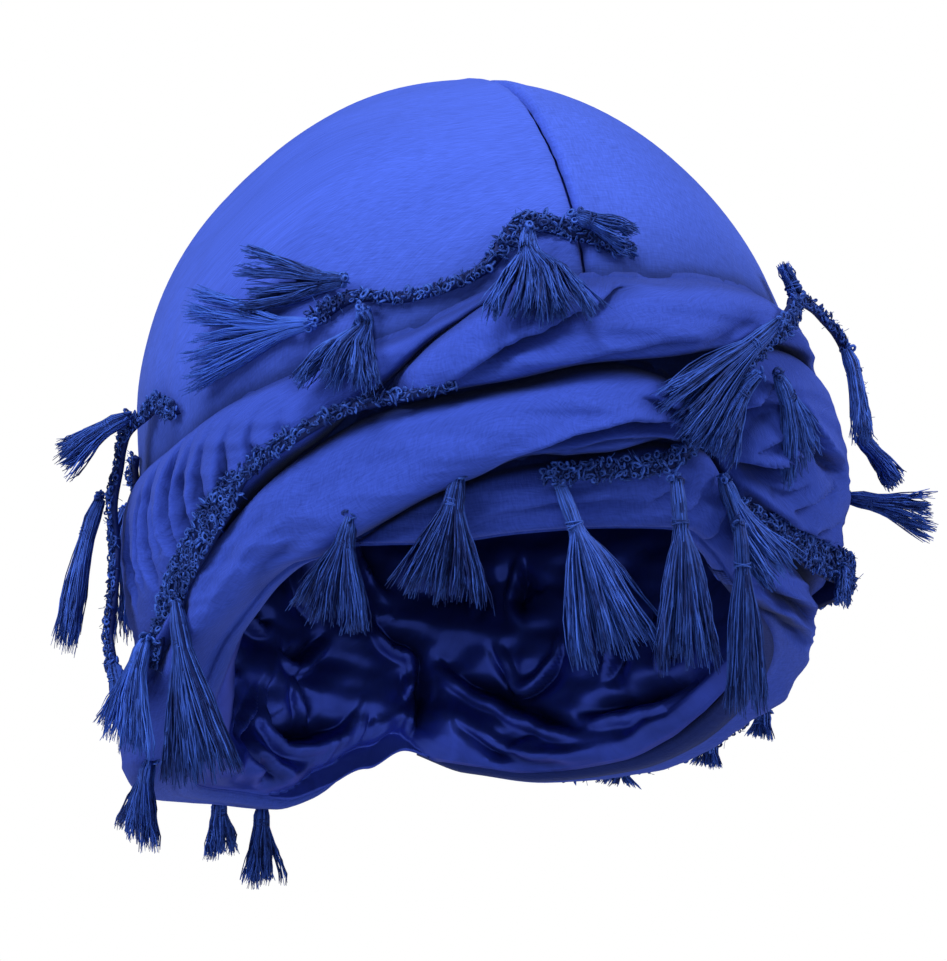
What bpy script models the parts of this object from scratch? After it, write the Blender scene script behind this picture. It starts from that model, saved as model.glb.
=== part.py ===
"""Tasselled durag, ready tied, as it keeps its form on a head.

A close cotton crown of two panels, cloth turns wound round the brow and down to the
nape, crocheted trim with tassels along the turns, and a satin lining that shows inside
the head opening.

The front faces -Y, the wearer's left is +X and +Z is up. The origin is the middle of
the head opening at brow height. The tables are in millimetres and degrees. A place on
the head has three numbers:
  around  degrees from the front, positive towards the wearer's left
  height  millimetres above the origin
  proud   millimetres out from the crown's outer surface
"""
import math
from collections import namedtuple

import bmesh
import bpy
from mathutils import Vector
from mathutils.bvhtree import BVHTree

MM = 0.001

# The crown as a head holds it
HALF_WIDTH = 80.0
HALF_DEPTH = 98.0
CROWN_TOP = 110.0
WIDEST_HEIGHT = 30.0
CROWN_SQUARENESS = 1.7
TUCK_IN = 0.13
TUCK_DEPTH = 90.0
TUCK_POWER = 1.3
CROWN_WALL = 1.5
LINING_WALL = 1.0
LAYER_GAP = 0.5
SEAM_GAP = 0.4
CROWN_HEM = 3.0
CROWN_STEPS = 32
RINGS_UP = 7
CROWN_RINGS_DOWN = 4
LINING_RINGS_DOWN = 8

# Wound cloth: its clearance on the crown, its free edge, and how far a roll sags
TURN_GAP = 0.8
EDGE_THICKNESS = 2.0
NEIGHBOUR_GAP = 0.5
SAG = 0.22
END_ROUNDING = 9.0
BACK_SPACING = 15.0
MM_PER_DEGREE = 1.55

# Crocheted trim and the tassels that hang from it
TRIM_WIDTH = 5.0
TRIM_THICKNESS = 3.0
TRIM_STEP = 6.5
TRIM_SCALLOP = 0.16
REST_GAP = 0.45
LIFT_STEP = 0.4
MOST_LIFT = 14.0
TASSEL_HEAD = 4.6
TASSEL_NECK = 3.8
TASSEL_LOCKS = 4
TASSEL_RINGS = (0.0, 0.1, 0.24, 0.56, 1.0)
TASSEL_FLATNESS = 0.45
TASSEL_DEEPEST = 7.5
LOCK_DEPTH = 0.16
TASSEL_SPREAD = 1.25

COTTON = ("cotton", (0.075, 0.125, 0.66), 0.85)
SATIN = ("satin", (0.02, 0.035, 0.30), 0.32)
THREAD = ("thread", (0.025, 0.055, 0.30), 0.6)

Line = namedtuple("Line", "around height")
Section = namedtuple("Section", "around proud low_inset high_inset")
Crease = namedtuple("Crease", "around_a height_a around_b height_b depth width")
TrimPoint = namedtuple("TrimPoint", "around height proud")
Tassel = namedtuple("Tassel", "around height proud tip_around tip_height tip_proud width")

# Where the crown goes under the wound cloth
CROWN_LINE = [
    Line(-180, -4),
    Line(-140, -1),
    Line(-110, 6),
    Line(-90, 11),
    Line(-78, 14),
    Line(-69, 18),
    Line(-61, 22),
    Line(-52, 25.5),
    Line(-45, 28),
    Line(-38, 30.5),
    Line(-30, 34),
    Line(-24, 38),
    Line(-17, 42.5),
    Line(-7, 45.5),
    Line(2, 47.5),
    Line(14, 48.5),
    Line(24, 50),
    Line(36, 50),
    Line(50, 47),
    Line(65, 42),
    Line(80, 36),
    Line(100, 26),
    Line(120, 15),
    Line(150, 1),
    Line(180, -4),
]

# Where the upper turn and the side gather end and the turn below begins
UPPER_LINE = [
    Line(-180, -25),
    Line(-140, -30),
    Line(-110, -33),
    Line(-95, -32),
    Line(-84, -28),
    Line(-77, -22.5),
    Line(-70, -16),
    Line(-63, -8),
    Line(-56, 0),
    Line(-50, 6),
    Line(-44, 10.5),
    Line(-37, 15),
    Line(-30, 17.5),
    Line(-22, 19.5),
    Line(-13, 22),
    Line(-2, 26),
    Line(10, 28.5),
    Line(21, 32),
    Line(33, 37),
    Line(46, 37),
    Line(60, 33),
    Line(75, 27),
    Line(90, 19),
    Line(120, 3),
    Line(150, -14),
    Line(180, -25),
]

# Where the middle turn meets the front rim, and the left gather meets the low turn
BROW_LINE = [
    Line(-40, -13),
    Line(-34, -9),
    Line(-25, -2.7),
    Line(-16, 1.6),
    Line(-7, 4),
    Line(1, 6.6),
    Line(12, 9.5),
    Line(20, 9.5),
    Line(27, 2),
    Line(33, -7),
    Line(45, -11),
    Line(70, -15),
    Line(90, -19),
    Line(120, -24),
    Line(150, -29),
    Line(180, -29),
]

# The lower edge of the whole wrap, lifted at the nape by the gathered back seam
RIM_LINE = [
    Line(-180, -58),
    Line(-170, -63),
    Line(-158, -67),
    Line(-140, -66),
    Line(-120, -66),
    Line(-105, -64),
    Line(-95, -60),
    Line(-86, -53),
    Line(-77, -44),
    Line(-70, -35),
    Line(-63, -28),
    Line(-56, -21),
    Line(-50, -17),
    Line(-43, -15),
    Line(-36, -14.5),
    Line(-24, -14),
    Line(-12, -12),
    Line(6, -10),
    Line(18, -9.5),
    Line(26, -14),
    Line(33, -20),
    Line(45, -26),
    Line(60, -31),
    Line(75, -37),
    Line(90, -45),
    Line(104, -52),
    Line(120, -57),
    Line(142, -59),
    Line(155, -57),
    Line(165, -55),
    Line(171, -53),
    Line(180, -58),
]

UPPER_TURN = [
    Section(-30, 3.0, NEIGHBOUR_GAP, 14.4),
    Section(-26, 7, NEIGHBOUR_GAP, 7.8),
    Section(-21, 10, NEIGHBOUR_GAP, NEIGHBOUR_GAP),
    Section(-5, 12, NEIGHBOUR_GAP, NEIGHBOUR_GAP),
    Section(20, 11.5, NEIGHBOUR_GAP, NEIGHBOUR_GAP),
    Section(40, 8.5, NEIGHBOUR_GAP, NEIGHBOUR_GAP),
    Section(62, 5.5, NEIGHBOUR_GAP, NEIGHBOUR_GAP),
    Section(100, 7, NEIGHBOUR_GAP, NEIGHBOUR_GAP),
    Section(150, 8, NEIGHBOUR_GAP, NEIGHBOUR_GAP),
    Section(178, 5, NEIGHBOUR_GAP, NEIGHBOUR_GAP),
]
UPPER_TURN_CREASES = [
    Crease(-24, 20, -3, 34, 5.5, 3.5),
    Crease(-3, 34, 10, 44, 4.0, 3.0),
    Crease(6, 34, 30, 40, 2.2, 4.0),
    Crease(40, 43, 60, 36, 2.0, 4.0),
    Crease(80, 28, 118, 4, 2.5, 4.0),
    Crease(128, 9, 168, -18, 3.0, 4.5),
]

SIDE_GATHER = [
    Section(-178, 5, NEIGHBOUR_GAP, NEIGHBOUR_GAP),
    Section(-140, 8, NEIGHBOUR_GAP, NEIGHBOUR_GAP),
    Section(-110, 6, NEIGHBOUR_GAP, NEIGHBOUR_GAP),
    Section(-92, 6, NEIGHBOUR_GAP, NEIGHBOUR_GAP),
    Section(-76, 9, NEIGHBOUR_GAP, NEIGHBOUR_GAP),
    Section(-62, 11, NEIGHBOUR_GAP, NEIGHBOUR_GAP),
    Section(-46, 11, NEIGHBOUR_GAP, NEIGHBOUR_GAP),
    Section(-36, 9, NEIGHBOUR_GAP, NEIGHBOUR_GAP),
    Section(-30, 7, 4.0, NEIGHBOUR_GAP),
    Section(-24, 3, 16.0, NEIGHBOUR_GAP),
]
SIDE_GATHER_CREASES = [
    Crease(-72, 12, -76, -16, 5.0, 2.6),
    Crease(-66, 14, -69, -8, 6.0, 2.6),
    Crease(-59, 17, -62, 0, 4.0, 2.4),
    Crease(-53, 20, -54, 6, 3.0, 2.4),
    Crease(-82, 6, -85, -20, 2.5, 3.0),
    Crease(-104, 4, -132, -24, 3.0, 4.0),
    Crease(-138, -6, -165, -19, 3.0, 4.0),
]

MIDDLE_TURN = [
    Section(-177, 5, NEIGHBOUR_GAP, NEIGHBOUR_GAP),
    Section(-140, 9, 0.0, NEIGHBOUR_GAP),
    Section(-115, 12, 0.0, NEIGHBOUR_GAP),
    Section(-92, 13, 0.0, NEIGHBOUR_GAP),
    Section(-76, 13.5, 0.0, NEIGHBOUR_GAP),
    Section(-60, 13, 0.0, NEIGHBOUR_GAP),
    Section(-42, 13, 0.0, NEIGHBOUR_GAP),
    Section(-20, 13.5, NEIGHBOUR_GAP, NEIGHBOUR_GAP),
    Section(0, 13, NEIGHBOUR_GAP, NEIGHBOUR_GAP),
    Section(12, 9, NEIGHBOUR_GAP, 4.0),
    Section(20, 3.5, 1.0, 14.0),
]
MIDDLE_TURN_CREASES = [
    Crease(-14, 7, 2, 15, 4.5, 3.0),
    Crease(2, 15, 15, 13, 3.0, 2.6),
    Crease(-50, -4, -30, 8, 2.0, 4.5),
    Crease(-84, -42, -66, -16, 3.0, 4.0),
    Crease(-140, -56, -98, -44, 3.5, 5.0),
    Crease(-172, -36, -134, -46, 3.0, 5.0),
]

FRONT_RIM = [
    Section(-37, 2.5, 0.0, 1.0),
    Section(-25, 5, 0.0, NEIGHBOUR_GAP),
    Section(0, 6, 0.0, NEIGHBOUR_GAP),
    Section(18, 6, 0.0, NEIGHBOUR_GAP),
    Section(31, 4, 0.0, 1.0),
]
FRONT_RIM_CREASES = [
    Crease(-20, -8, 16, -3, 1.5, 3.0),
    Crease(20, 6, 25, -10, 2.0, 3.0),
]

LEFT_GATHER = [
    Section(22, 4, 1.0, 9.0),
    Section(30, 9, NEIGHBOUR_GAP, 2.0),
    Section(45, 12, NEIGHBOUR_GAP, NEIGHBOUR_GAP),
    Section(68, 14, NEIGHBOUR_GAP, NEIGHBOUR_GAP),
    Section(90, 13, NEIGHBOUR_GAP, NEIGHBOUR_GAP),
    Section(120, 10, NEIGHBOUR_GAP, NEIGHBOUR_GAP),
    Section(158, 4, NEIGHBOUR_GAP, NEIGHBOUR_GAP),
]
LEFT_GATHER_CREASES = [
    Crease(27, 12, 52, 22, 5.0, 3.0),
    Crease(30, 8, 62, 6, 5.5, 3.2),
    Crease(32, 2, 58, -8, 4.0, 2.8),
    Crease(62, 24, 84, 6, 4.0, 3.5),
    Crease(84, 10, 130, -8, 3.5, 4.0),
]

LOW_TURN = [
    Section(34, 5, 0.0, NEIGHBOUR_GAP),
    Section(50, 11, 0.0, NEIGHBOUR_GAP),
    Section(70, 14, 0.0, NEIGHBOUR_GAP),
    Section(90, 11, 0.0, NEIGHBOUR_GAP),
    Section(130, 9, 0.0, NEIGHBOUR_GAP),
    Section(168, 5, 0.0, NEIGHBOUR_GAP),
]
LOW_TURN_CREASES = [
    Crease(38, -16, 66, -30, 4.5, 3.2),
    Crease(60, -20, 100, -34, 4.0, 3.5),
    Crease(98, -40, 132, -32, 3.5, 4.5),
    Crease(130, -50, 162, -38, 3.0, 4.5),
]

# Soft folds of the satin, which lift the lining off the crown at the nape
LINING_FOLDS = [
    Crease(-176, -16, -156, -24, 8.0, 8.0),
    Crease(-150, -24, -146, -50, 9.0, 8.0),
    Crease(-146, -52, -172, -50, 7.0, 7.5),
    Crease(-188, -20, -192, -48, 6.0, 7.0),
    Crease(150, -18, 140, -36, 6.0, 8.0),
    Crease(160, -44, 104, -42, 4.5, 7.5),
    Crease(-124, -36, -98, -50, 4.5, 8.0),
]
LINING_TOUCH = 60.0

UPPER_TRIM = [
    TrimPoint(-47, 37, 0),
    TrimPoint(-40, 42.5, 0),
    TrimPoint(-31, 41.5, 0),
    TrimPoint(-24.5, 43.5, 0),
    TrimPoint(-18, 48, 0),
    TrimPoint(-15, 53, 0),
    TrimPoint(-10, 60, 0),
    TrimPoint(-4, 59, 0),
    TrimPoint(3, 56.5, 0),
    TrimPoint(9, 53.5, 0),
]
MIDDLE_TRIM = [
    TrimPoint(-22, 19, 0),
    TrimPoint(-30, 17, 0),
    TrimPoint(-37, 15, 0),
    TrimPoint(-44, 10.5, 0),
    TrimPoint(-50, 6, 0),
    TrimPoint(-55, 1.5, 0),
    TrimPoint(-59, -5, 0),
    TrimPoint(-63, -13, 0),
    TrimPoint(-68, -21, 0),
    TrimPoint(-73, -30, 0),
    TrimPoint(-76, -40, 0),
]
FRONT_TRIM = [
    TrimPoint(-9, -1, 0),
    TrimPoint(-2, 0.5, 0),
    TrimPoint(6, 1.5, 0),
    TrimPoint(12, 4, 0),
    TrimPoint(16, 9, 0),
    TrimPoint(19, 16, 0),
    TrimPoint(23, 24, 0),
    TrimPoint(29, 33, 0),
    TrimPoint(36, 40, 0),
    TrimPoint(41, 45, 0),
]
RIGHT_LOOP_TRIM = [
    TrimPoint(44, 45, 0),
    TrimPoint(50, 49, 8),
    TrimPoint(58, 46.5, 11),
    TrimPoint(65, 41.5, 14),
    TrimPoint(70, 31.5, 16.5),
    TrimPoint(72, 22, 18),
]
LOW_TRIM = [
    TrimPoint(27, -4, 0),
    TrimPoint(34, -8.5, 0),
    TrimPoint(45, -11.5, 0),
    TrimPoint(58, -13.5, 0),
    TrimPoint(72, -15, 0),
    TrimPoint(86, -17, 0),
]
SIDE_TRIM = [
    TrimPoint(-77, 21, 0),
    TrimPoint(-84, 25, 0),
    TrimPoint(-91, 20, 6),
    TrimPoint(-94, 11, 8),
    TrimPoint(-95, 2, 10),
    TrimPoint(-96, -7.5, 10),
    TrimPoint(-95, -19, 12),
    TrimPoint(-94, -31, 15),
    TrimPoint(-92, -39, 15.5),
]
BACK_TRIM = [
    TrimPoint(-100, 15, 0),
    TrimPoint(-120, 9, 0),
    TrimPoint(-145, 4, 0),
    TrimPoint(-180, 1.5, 0),
    TrimPoint(-210, 6.5, 0),
    TrimPoint(-240, 20, 0),
    TrimPoint(-262, 32, 0),
]
NAPE_TRIM = [
    TrimPoint(90, -38, 0),
    TrimPoint(104, -46, 0),
    TrimPoint(120, -52, 0),
    TrimPoint(136, -54.5, 0),
    TrimPoint(150, -53.5, 0),
    TrimPoint(162, -50, 0),
]
TRIMS = [
    ("upper_trim", UPPER_TRIM),
    ("middle_trim", MIDDLE_TRIM),
    ("front_trim", FRONT_TRIM),
    ("right_loop_trim", RIGHT_LOOP_TRIM),
    ("low_trim", LOW_TRIM),
    ("side_trim", SIDE_TRIM),
    ("back_trim", BACK_TRIM),
    ("nape_trim", NAPE_TRIM),
]

# A tassel with proud 0 lies on the cloth under it; the others stand out as given
TASSELS = [
    Tassel(-45, 36, 0, -69, 37, 0, 20),
    Tassel(-40, 46, 0, -57, 48.5, 0, 13),
    Tassel(-37, 39, 0, -38, 20, 0, 15),
    Tassel(-10.5, 57, 0, -10, 34.5, 0, 27),
    Tassel(-2, 61, 0, 8, 57, 0, 7),
    Tassel(30, 38, 0, 10, 13, 0, 15),
    Tassel(25, 25, 0, 18, 6, 0, 9),
    Tassel(52, 53, 6, 51, 60, 6, 5),
    Tassel(31, 26, 0, 40, 7, 0, 14),
    Tassel(62, 38, 15, 62, 16, 19, 9),
    Tassel(72, 18, 18, 72, 7, 28, 10),
    Tassel(70, 5, 17, 68, 0, 38, 9),
    Tassel(60, -17, 20, 60, -26, 22, 6),
    Tassel(22, 1, 0, 32, -20, 16, 12),
    Tassel(-6.5, -5, 10, 3, -42, 14, 23),
    Tassel(11, -1, 10, 14, -42, 14, 17),
    Tassel(24, -9, 12, 28, -51, 15, 15),
    Tassel(-21.5, -1, 12, -25, -28, 12, 18),
    Tassel(-37, -10, 14, -42, -33, 11, 18),
    Tassel(-75, -34, 16, -80, -57, 21, 17),
    Tassel(-68, -26, 15, -66, -66, 15, 17),
    Tassel(-93, -62, 9, -95, -80, 14, 19),
    Tassel(-146, -66, 5, -148, -80, 9, 12),
    Tassel(-157, -67, 5, -158, -87, 10, 11),
    Tassel(-88, 23, 10, -92, 13, 25, 11),
    Tassel(-96, 4, 14, -98, -31, 26, 14),
    Tassel(-90, -38, 16, -89, -50, 16, 7),
    Tassel(98, -44, 12, 99, -56, 12, 10),
    Tassel(112, -50, 10, 113, -62, 10, 10),
    Tassel(130, -55, 10, 131, -65, 10, 10),
    Tassel(-118, 6, 0, -120, -26, 0, 15),
    Tassel(-150, 0, 0, -152, -34, 0, 15),
    Tassel(178, -2, 0, 178, -36, 0, 15),
    Tassel(146, 5, 0, 144, -29, 0, 15),
    Tassel(114, 21, 0, 112, -12, 0, 15),
]


def blend(rows, column, around):
    """Smooth value of one column of a table at a place round the head."""
    places = [row.around for row in rows]
    values = [getattr(row, column) for row in rows]
    if around <= places[0]:
        return values[0]
    if around >= places[-1]:
        return values[-1]
    last = len(rows) - 1
    k = next(i for i in range(last) if places[i] <= around <= places[i + 1])

    def slope(i):
        if i in (0, last):
            return 0.0
        before = (values[i] - values[i - 1]) / (places[i] - places[i - 1])
        after = (values[i + 1] - values[i]) / (places[i + 1] - places[i])
        return 0.0 if before * after <= 0 else 2.0 * before * after / (before + after)

    span = places[k + 1] - places[k]
    t = (around - places[k]) / span
    rise = (1 + 2 * t) * (1 - t) ** 2 * values[k] + t * t * (3 - 2 * t) * values[k + 1]
    return rise + span * (t * (1 - t) ** 2 * slope(k) - t * t * (1 - t) * slope(k + 1))


def head_scale(height):
    """Width of the crown at a height, as a share of its widest."""
    if height > WIDEST_HEIGHT:
        rise = min((height - WIDEST_HEIGHT) / (CROWN_TOP - WIDEST_HEIGHT), 1.0)
        return math.sqrt(1.0 - rise ** CROWN_SQUARENESS)
    drop = (WIDEST_HEIGHT - height) / TUCK_DEPTH
    return 1.0 - TUCK_IN * drop ** TUCK_POWER


def outward(around):
    """Level direction away from the head."""
    turn = math.radians(around)
    return Vector((math.sin(turn), -math.cos(turn), 0.0))


def head_point(around, height, proud):
    """Place on the head, in millimetres."""
    turn = math.radians(around)
    scale = head_scale(height)
    x = (HALF_WIDTH * scale + proud) * math.sin(turn)
    y = -(HALF_DEPTH * scale + proud) * math.cos(turn)
    return Vector((x, y, height))


def crease_depth(creases, around, height):
    """How far the creases near a place press the cloth in."""
    total = 0.0
    for crease in creases:
        run = (crease.around_b - crease.around_a) * MM_PER_DEGREE
        rise = crease.height_b - crease.height_a
        along = (around - crease.around_a) * MM_PER_DEGREE
        up = height - crease.height_a
        share = (along * run + up * rise) / (run * run + rise * rise)
        share = min(max(share, 0.0), 1.0)
        away = math.hypot(along - share * run, up - share * rise)
        total = max(total, crease.depth * math.exp(-(away / crease.width) ** 2))
    return total


def new_object(name, mesh_data, finish):
    """One named piece with its own material, from a closed bmesh in millimetres."""
    bmesh.ops.remove_doubles(mesh_data, verts=mesh_data.verts, dist=1e-4)
    bmesh.ops.recalc_face_normals(mesh_data, faces=mesh_data.faces)
    bmesh.ops.scale(mesh_data, vec=(MM, MM, MM), verts=mesh_data.verts)
    mesh = bpy.data.meshes.new(name)
    mesh_data.to_mesh(mesh)
    mesh_data.free()
    mesh.shade_smooth()
    obj = bpy.data.objects.new(name, mesh)
    bpy.context.scene.collection.objects.link(obj)
    material = bpy.data.materials.new(name + "_" + finish[0])
    material.use_nodes = True
    shader = material.node_tree.nodes["Principled BSDF"]
    shader.inputs["Base Color"].default_value = (*finish[1], 1.0)
    shader.inputs["Roughness"].default_value = finish[2]
    obj.data.materials.append(material)
    return obj


def loft(rings, closed_ends=True):
    """Closed bmesh through rings of points; each ring has the same number of points."""
    mesh_data = bmesh.new()
    loops = [[mesh_data.verts.new(point) for point in ring] for ring in rings]
    count = len(rings[0])
    for ring, after in zip(loops, loops[1:]):
        for k in range(count):
            n = (k + 1) % count
            mesh_data.faces.new((ring[k], ring[n], after[n], after[k]))
    if closed_ends:
        mesh_data.faces.new(loops[0])
        mesh_data.faces.new(loops[-1])
    bmesh.ops.triangulate(mesh_data, faces=mesh_data.faces)
    return mesh_data


def dome_column(around, rim, inset, rings_down, fold=None):
    """Points from the pole of the crown down to its rim, inset from its outer surface."""
    column = []
    for k in range(RINGS_UP + 1):
        climb = math.radians(90.0 * (1.0 - k / RINGS_UP))
        rise = math.sin(climb) ** (2.0 / CROWN_SQUARENESS)
        height = WIDEST_HEIGHT + (CROWN_TOP - inset - WIDEST_HEIGHT) * rise
        spread = math.cos(climb)
        turn = math.radians(around)
        x = (HALF_WIDTH - inset) * spread * math.sin(turn)
        y = -(HALF_DEPTH - inset) * spread * math.cos(turn)
        column.append(Vector((x, y, height)))
    for k in range(1, rings_down + 1):
        height = WIDEST_HEIGHT + (rim - WIDEST_HEIGHT) * k / rings_down
        lift = fold(around, height) if fold else 0.0
        column.append(head_point(around, height, -inset - lift))
    return column


def crown_panel(name, side):
    """Half of the crown, from the centre seam round one side to the back seam."""
    steps = CROWN_STEPS // 2
    rings = []
    for k in range(steps + 1):
        around = side * 180.0 * k / steps
        rim = blend(RIM_LINE, "height", around) + CROWN_HEM
        outer = dome_column(around, rim, 0.0, CROWN_RINGS_DOWN)
        inner = dome_column(around, rim, CROWN_WALL, CROWN_RINGS_DOWN)
        shift = Vector((side * SEAM_GAP / 2, 0.0, 0.0))
        rings.append([point + shift for point in outer + inner[::-1]])
    return new_object(name, loft(rings), COTTON)


def lining():
    """Satin inside the crown, down to the rim, puckered at the nape."""
    steps = CROWN_STEPS
    inset = CROWN_WALL + LAYER_GAP

    def fold(around, height):
        wrapped = max(crease_depth(LINING_FOLDS, around + 360 * n, height) for n in (-1, 0, 1))
        return wrapped * min(max((LINING_TOUCH - height) / LINING_TOUCH, 0.0), 1.0)

    outer, inner = [], []
    for k in range(steps):
        around = -180.0 + 360.0 * k / steps
        rim = blend(RIM_LINE, "height", around) + 1.0
        outer.append(dome_column(around, rim, inset, LINING_RINGS_DOWN, fold))
        inner.append(dome_column(around, rim, inset + LINING_WALL, LINING_RINGS_DOWN, fold))
    rings = [list(ring) for ring in zip(*outer)] + [list(ring) for ring in zip(*inner)][::-1]
    return new_object("satin_lining", loft(rings, closed_ends=False), SATIN)


def turn_of_cloth(name, low_line, high_line, sections, creases, step, columns=7):
    """One wound roll: it lies on the crown between two lines and bulges between them."""
    start, end = sections[0].around, sections[-1].around
    count = max(2, round((end - start) / step))
    tallest = max(blend(high_line, "height", row.around) - blend(low_line, "height", row.around)
                  for row in sections)
    back_columns = max(2, math.ceil(tallest / BACK_SPACING))
    rings = []
    for k in range(count + 1):
        around = start + (end - start) * k / count
        low = blend(low_line, "height", around) + blend(sections, "low_inset", around)
        high = blend(high_line, "height", around) - blend(sections, "high_inset", around)
        from_end = min(around - start, end - around) * MM_PER_DEGREE
        rounding = math.sqrt(min(max(from_end / END_ROUNDING, 0.0), 1.0))
        bulge = (blend(sections, "proud", around) - EDGE_THICKNESS) * (0.35 + 0.65 * rounding)
        outer = []
        for n in range(columns + 1):
            share = n / columns
            level = low + (high - low) * (0.5 - 0.5 * math.cos(math.pi * share))
            swell = bulge * math.sin(math.pi * share) ** 0.75
            pressed = crease_depth(creases, around, level)
            proud = TURN_GAP + EDGE_THICKNESS + max(swell - pressed, 0.15 * swell)
            outer.append(head_point(around, level, 0.0) + outward(around) * proud
                         - Vector((0.0, 0.0, SAG * proud)))
        inner = []
        for n in range(back_columns + 1):
            level = high + (low - high) * n / back_columns
            inner.append(head_point(around, level, TURN_GAP)
                         - Vector((0.0, 0.0, SAG * TURN_GAP)))
        rings.append(outer + inner)
    return new_object(name, loft(rings), COTTON)


def tree_of(pieces):
    """Search tree over the surfaces of several pieces, in millimetres."""
    points, faces = [], []
    for obj in pieces:
        first = len(points)
        points.extend(v.co / MM for v in obj.data.vertices)
        faces.extend([first + n for n in face.vertices] for face in obj.data.polygons)
    return BVHTree.FromPolygons(points, faces)


def cloth_proud(tree, around, height):
    """How proud the outermost cloth stands at a place, or None past its edge."""
    reach = 60.0
    start = head_point(around, height, reach)
    hit = tree.ray_cast(start, -outward(around), reach + 15.0)
    return None if hit[0] is None else reach - hit[3]


def resting_proud(tree, around, height, half_span, thickness):
    """Proud of a piece's middle when it rests on the highest cloth under its width."""
    found = [cloth_proud(tree, around + shift, height + rise)
             for shift in (-0.6 * half_span, 0.0, 0.6 * half_span)
             for rise in (-half_span, 0.0, half_span)]
    found = [value for value in found if value is not None]
    return (max(found) if found else 0.0) + REST_GAP + thickness / 2


def clear_of(tree, rings):
    """True when a loft through these rings touches nothing in the tree."""
    trial = loft(rings)
    clear = not BVHTree.FromBMesh(trial).overlap(tree)
    trial.free()
    return clear


def nearest_gap(tree, rings):
    """Shortest way from a piece to what is near it."""
    best = None
    for point in (point for ring in rings for point in ring):
        found = tree.find_nearest(point)
        if best is None or found[3] < best[1]:
            best = (found[0] - point, found[3])
    return best


def seated(rings_at, tree, out):
    """Rings moved out until the piece is clear, then in until it touches its seat."""
    lift = Vector((0.0, 0.0, 0.0))
    while not clear_of(tree, rings_at(lift)) and lift.length < MOST_LIFT:
        lift += LIFT_STEP * out
    way, gap = nearest_gap(tree, rings_at(lift))
    for share in (1.0, 0.75, 0.5, 0.25):
        closer = lift + way * (share * max(gap - REST_GAP, 0.0) / max(gap, REST_GAP))
        if clear_of(tree, rings_at(closer)):
            return rings_at(closer)
    return rings_at(lift)


def smooth_path(rows, step):
    """Even stations along a table of places, as (around, height, proud)."""
    stations = []
    for k in range(len(rows) - 1):
        p0 = rows[max(k - 1, 0)]
        p1, p2 = rows[k], rows[k + 1]
        p3 = rows[min(k + 2, len(rows) - 1)]
        length = (head_point(*p2) - head_point(*p1)).length
        pieces = max(1, round(length / step))
        for n in range(pieces):
            t = n / pieces
            stations.append([0.5 * (2 * b + (c - a) * t + (2 * a - 5 * b + 4 * c - d) * t * t
                                    + (3 * b - a - 3 * c + d) * t ** 3)
                             for a, b, c, d in zip(p0, p1, p2, p3)])
    stations.append(list(rows[-1]))
    return stations


def trim_rings(stations, lift):
    """Oval rings along a trim, wide along the cloth and scalloped like its loops."""
    centres = [head_point(a, h, p) + lift for a, h, p in stations]
    rings = []
    for k, centre in enumerate(centres):
        ahead = centres[min(k + 1, len(centres) - 1)] - centres[max(k - 1, 0)]
        out = outward(stations[k][0])
        wide = ahead.cross(out).normalized()
        out = wide.cross(ahead).normalized()
        scallop = 1.0 + TRIM_SCALLOP * (-1) ** k
        taper = 0.6 if k in (0, len(centres) - 1) else 1.0
        rings.append([centre + taper * (wide * math.cos(turn) * scallop * TRIM_WIDTH / 2
                                        + out * math.sin(turn) * TRIM_THICKNESS / 2)
                      for turn in (2 * math.pi * n / 6 for n in range(6))])
    return rings


def trim(name, rows, tree):
    """Crocheted edging laid along the cloth, at least as proud as its table says."""
    stations = smooth_path(rows, TRIM_STEP)
    needed = [resting_proud(tree, a, h, TRIM_WIDTH / 2, TRIM_THICKNESS) for a, h, _ in stations]
    for k, station in enumerate(stations):
        near = needed[max(k - 1, 0):k + 2]
        station[2] = max(station[2], sum(near) / len(near))
    out = outward(stations[len(stations) // 2][0])
    rings = seated(lambda lift: trim_rings(stations, lift), tree, out)
    return new_object(name, loft(rings), THREAD)


def tip_depth(width):
    """Thickness of a tassel's tip, which lies flatter the wider it fans."""
    return min(width * TASSEL_FLATNESS, TASSEL_DEEPEST)


def tassel_rings(stations, width, lift):
    """Star rings down a tassel: a round head, a bound neck, then locks that fan out."""
    centres = [head_point(a, h, p) + lift for a, h, p in stations]
    last = len(centres) - 1
    points = 2 * TASSEL_LOCKS
    rings = []
    for k, centre in enumerate(centres):
        share = TASSEL_RINGS[k]
        ahead = centres[min(k + 1, last)] - centres[max(k - 1, 0)]
        out = outward(stations[k][0])
        wide = ahead.cross(out)
        if wide.length < 0.3 * ahead.length:
            wide = ahead.cross(Vector((0.0, 0.0, 1.0)))
        wide.normalize()
        out = wide.cross(ahead).normalized()
        fan = TASSEL_NECK + (width - TASSEL_NECK) * share ** TASSEL_SPREAD
        across = (0.6 * TASSEL_HEAD, TASSEL_HEAD, TASSEL_NECK)[k] if k < 3 else fan
        deep = across if k < 3 else TASSEL_NECK + (tip_depth(width) - TASSEL_NECK) * share
        lock = LOCK_DEPTH if k > 2 else 0.0
        rings.append([centre + (1 + lock * (-1) ** n) * (
            wide * math.cos(math.pi * n / TASSEL_LOCKS) * across / 2
            + out * math.sin(math.pi * n / TASSEL_LOCKS) * deep / 2)
            for n in range(points)])
    return rings


def tassel_stations(row, tree):
    """Places from a tassel's head to its tip, resting on the cloth where it lies."""
    stations = []
    for share in TASSEL_RINGS:
        around = row.around + (row.tip_around - row.around) * share
        height = row.height + (row.tip_height - row.height) * share
        proud = row.proud + (row.tip_proud - row.proud) * share ** 0.8
        span = max(TASSEL_HEAD, row.width * share) / 2
        deep = max(TASSEL_HEAD, tip_depth(row.width) * share)
        if row.proud == 0 or row.tip_proud == 0:
            proud = max(proud, resting_proud(tree, around, height, 0.7 * span, deep))
        stations.append((around, height, proud))
    return stations


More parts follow.
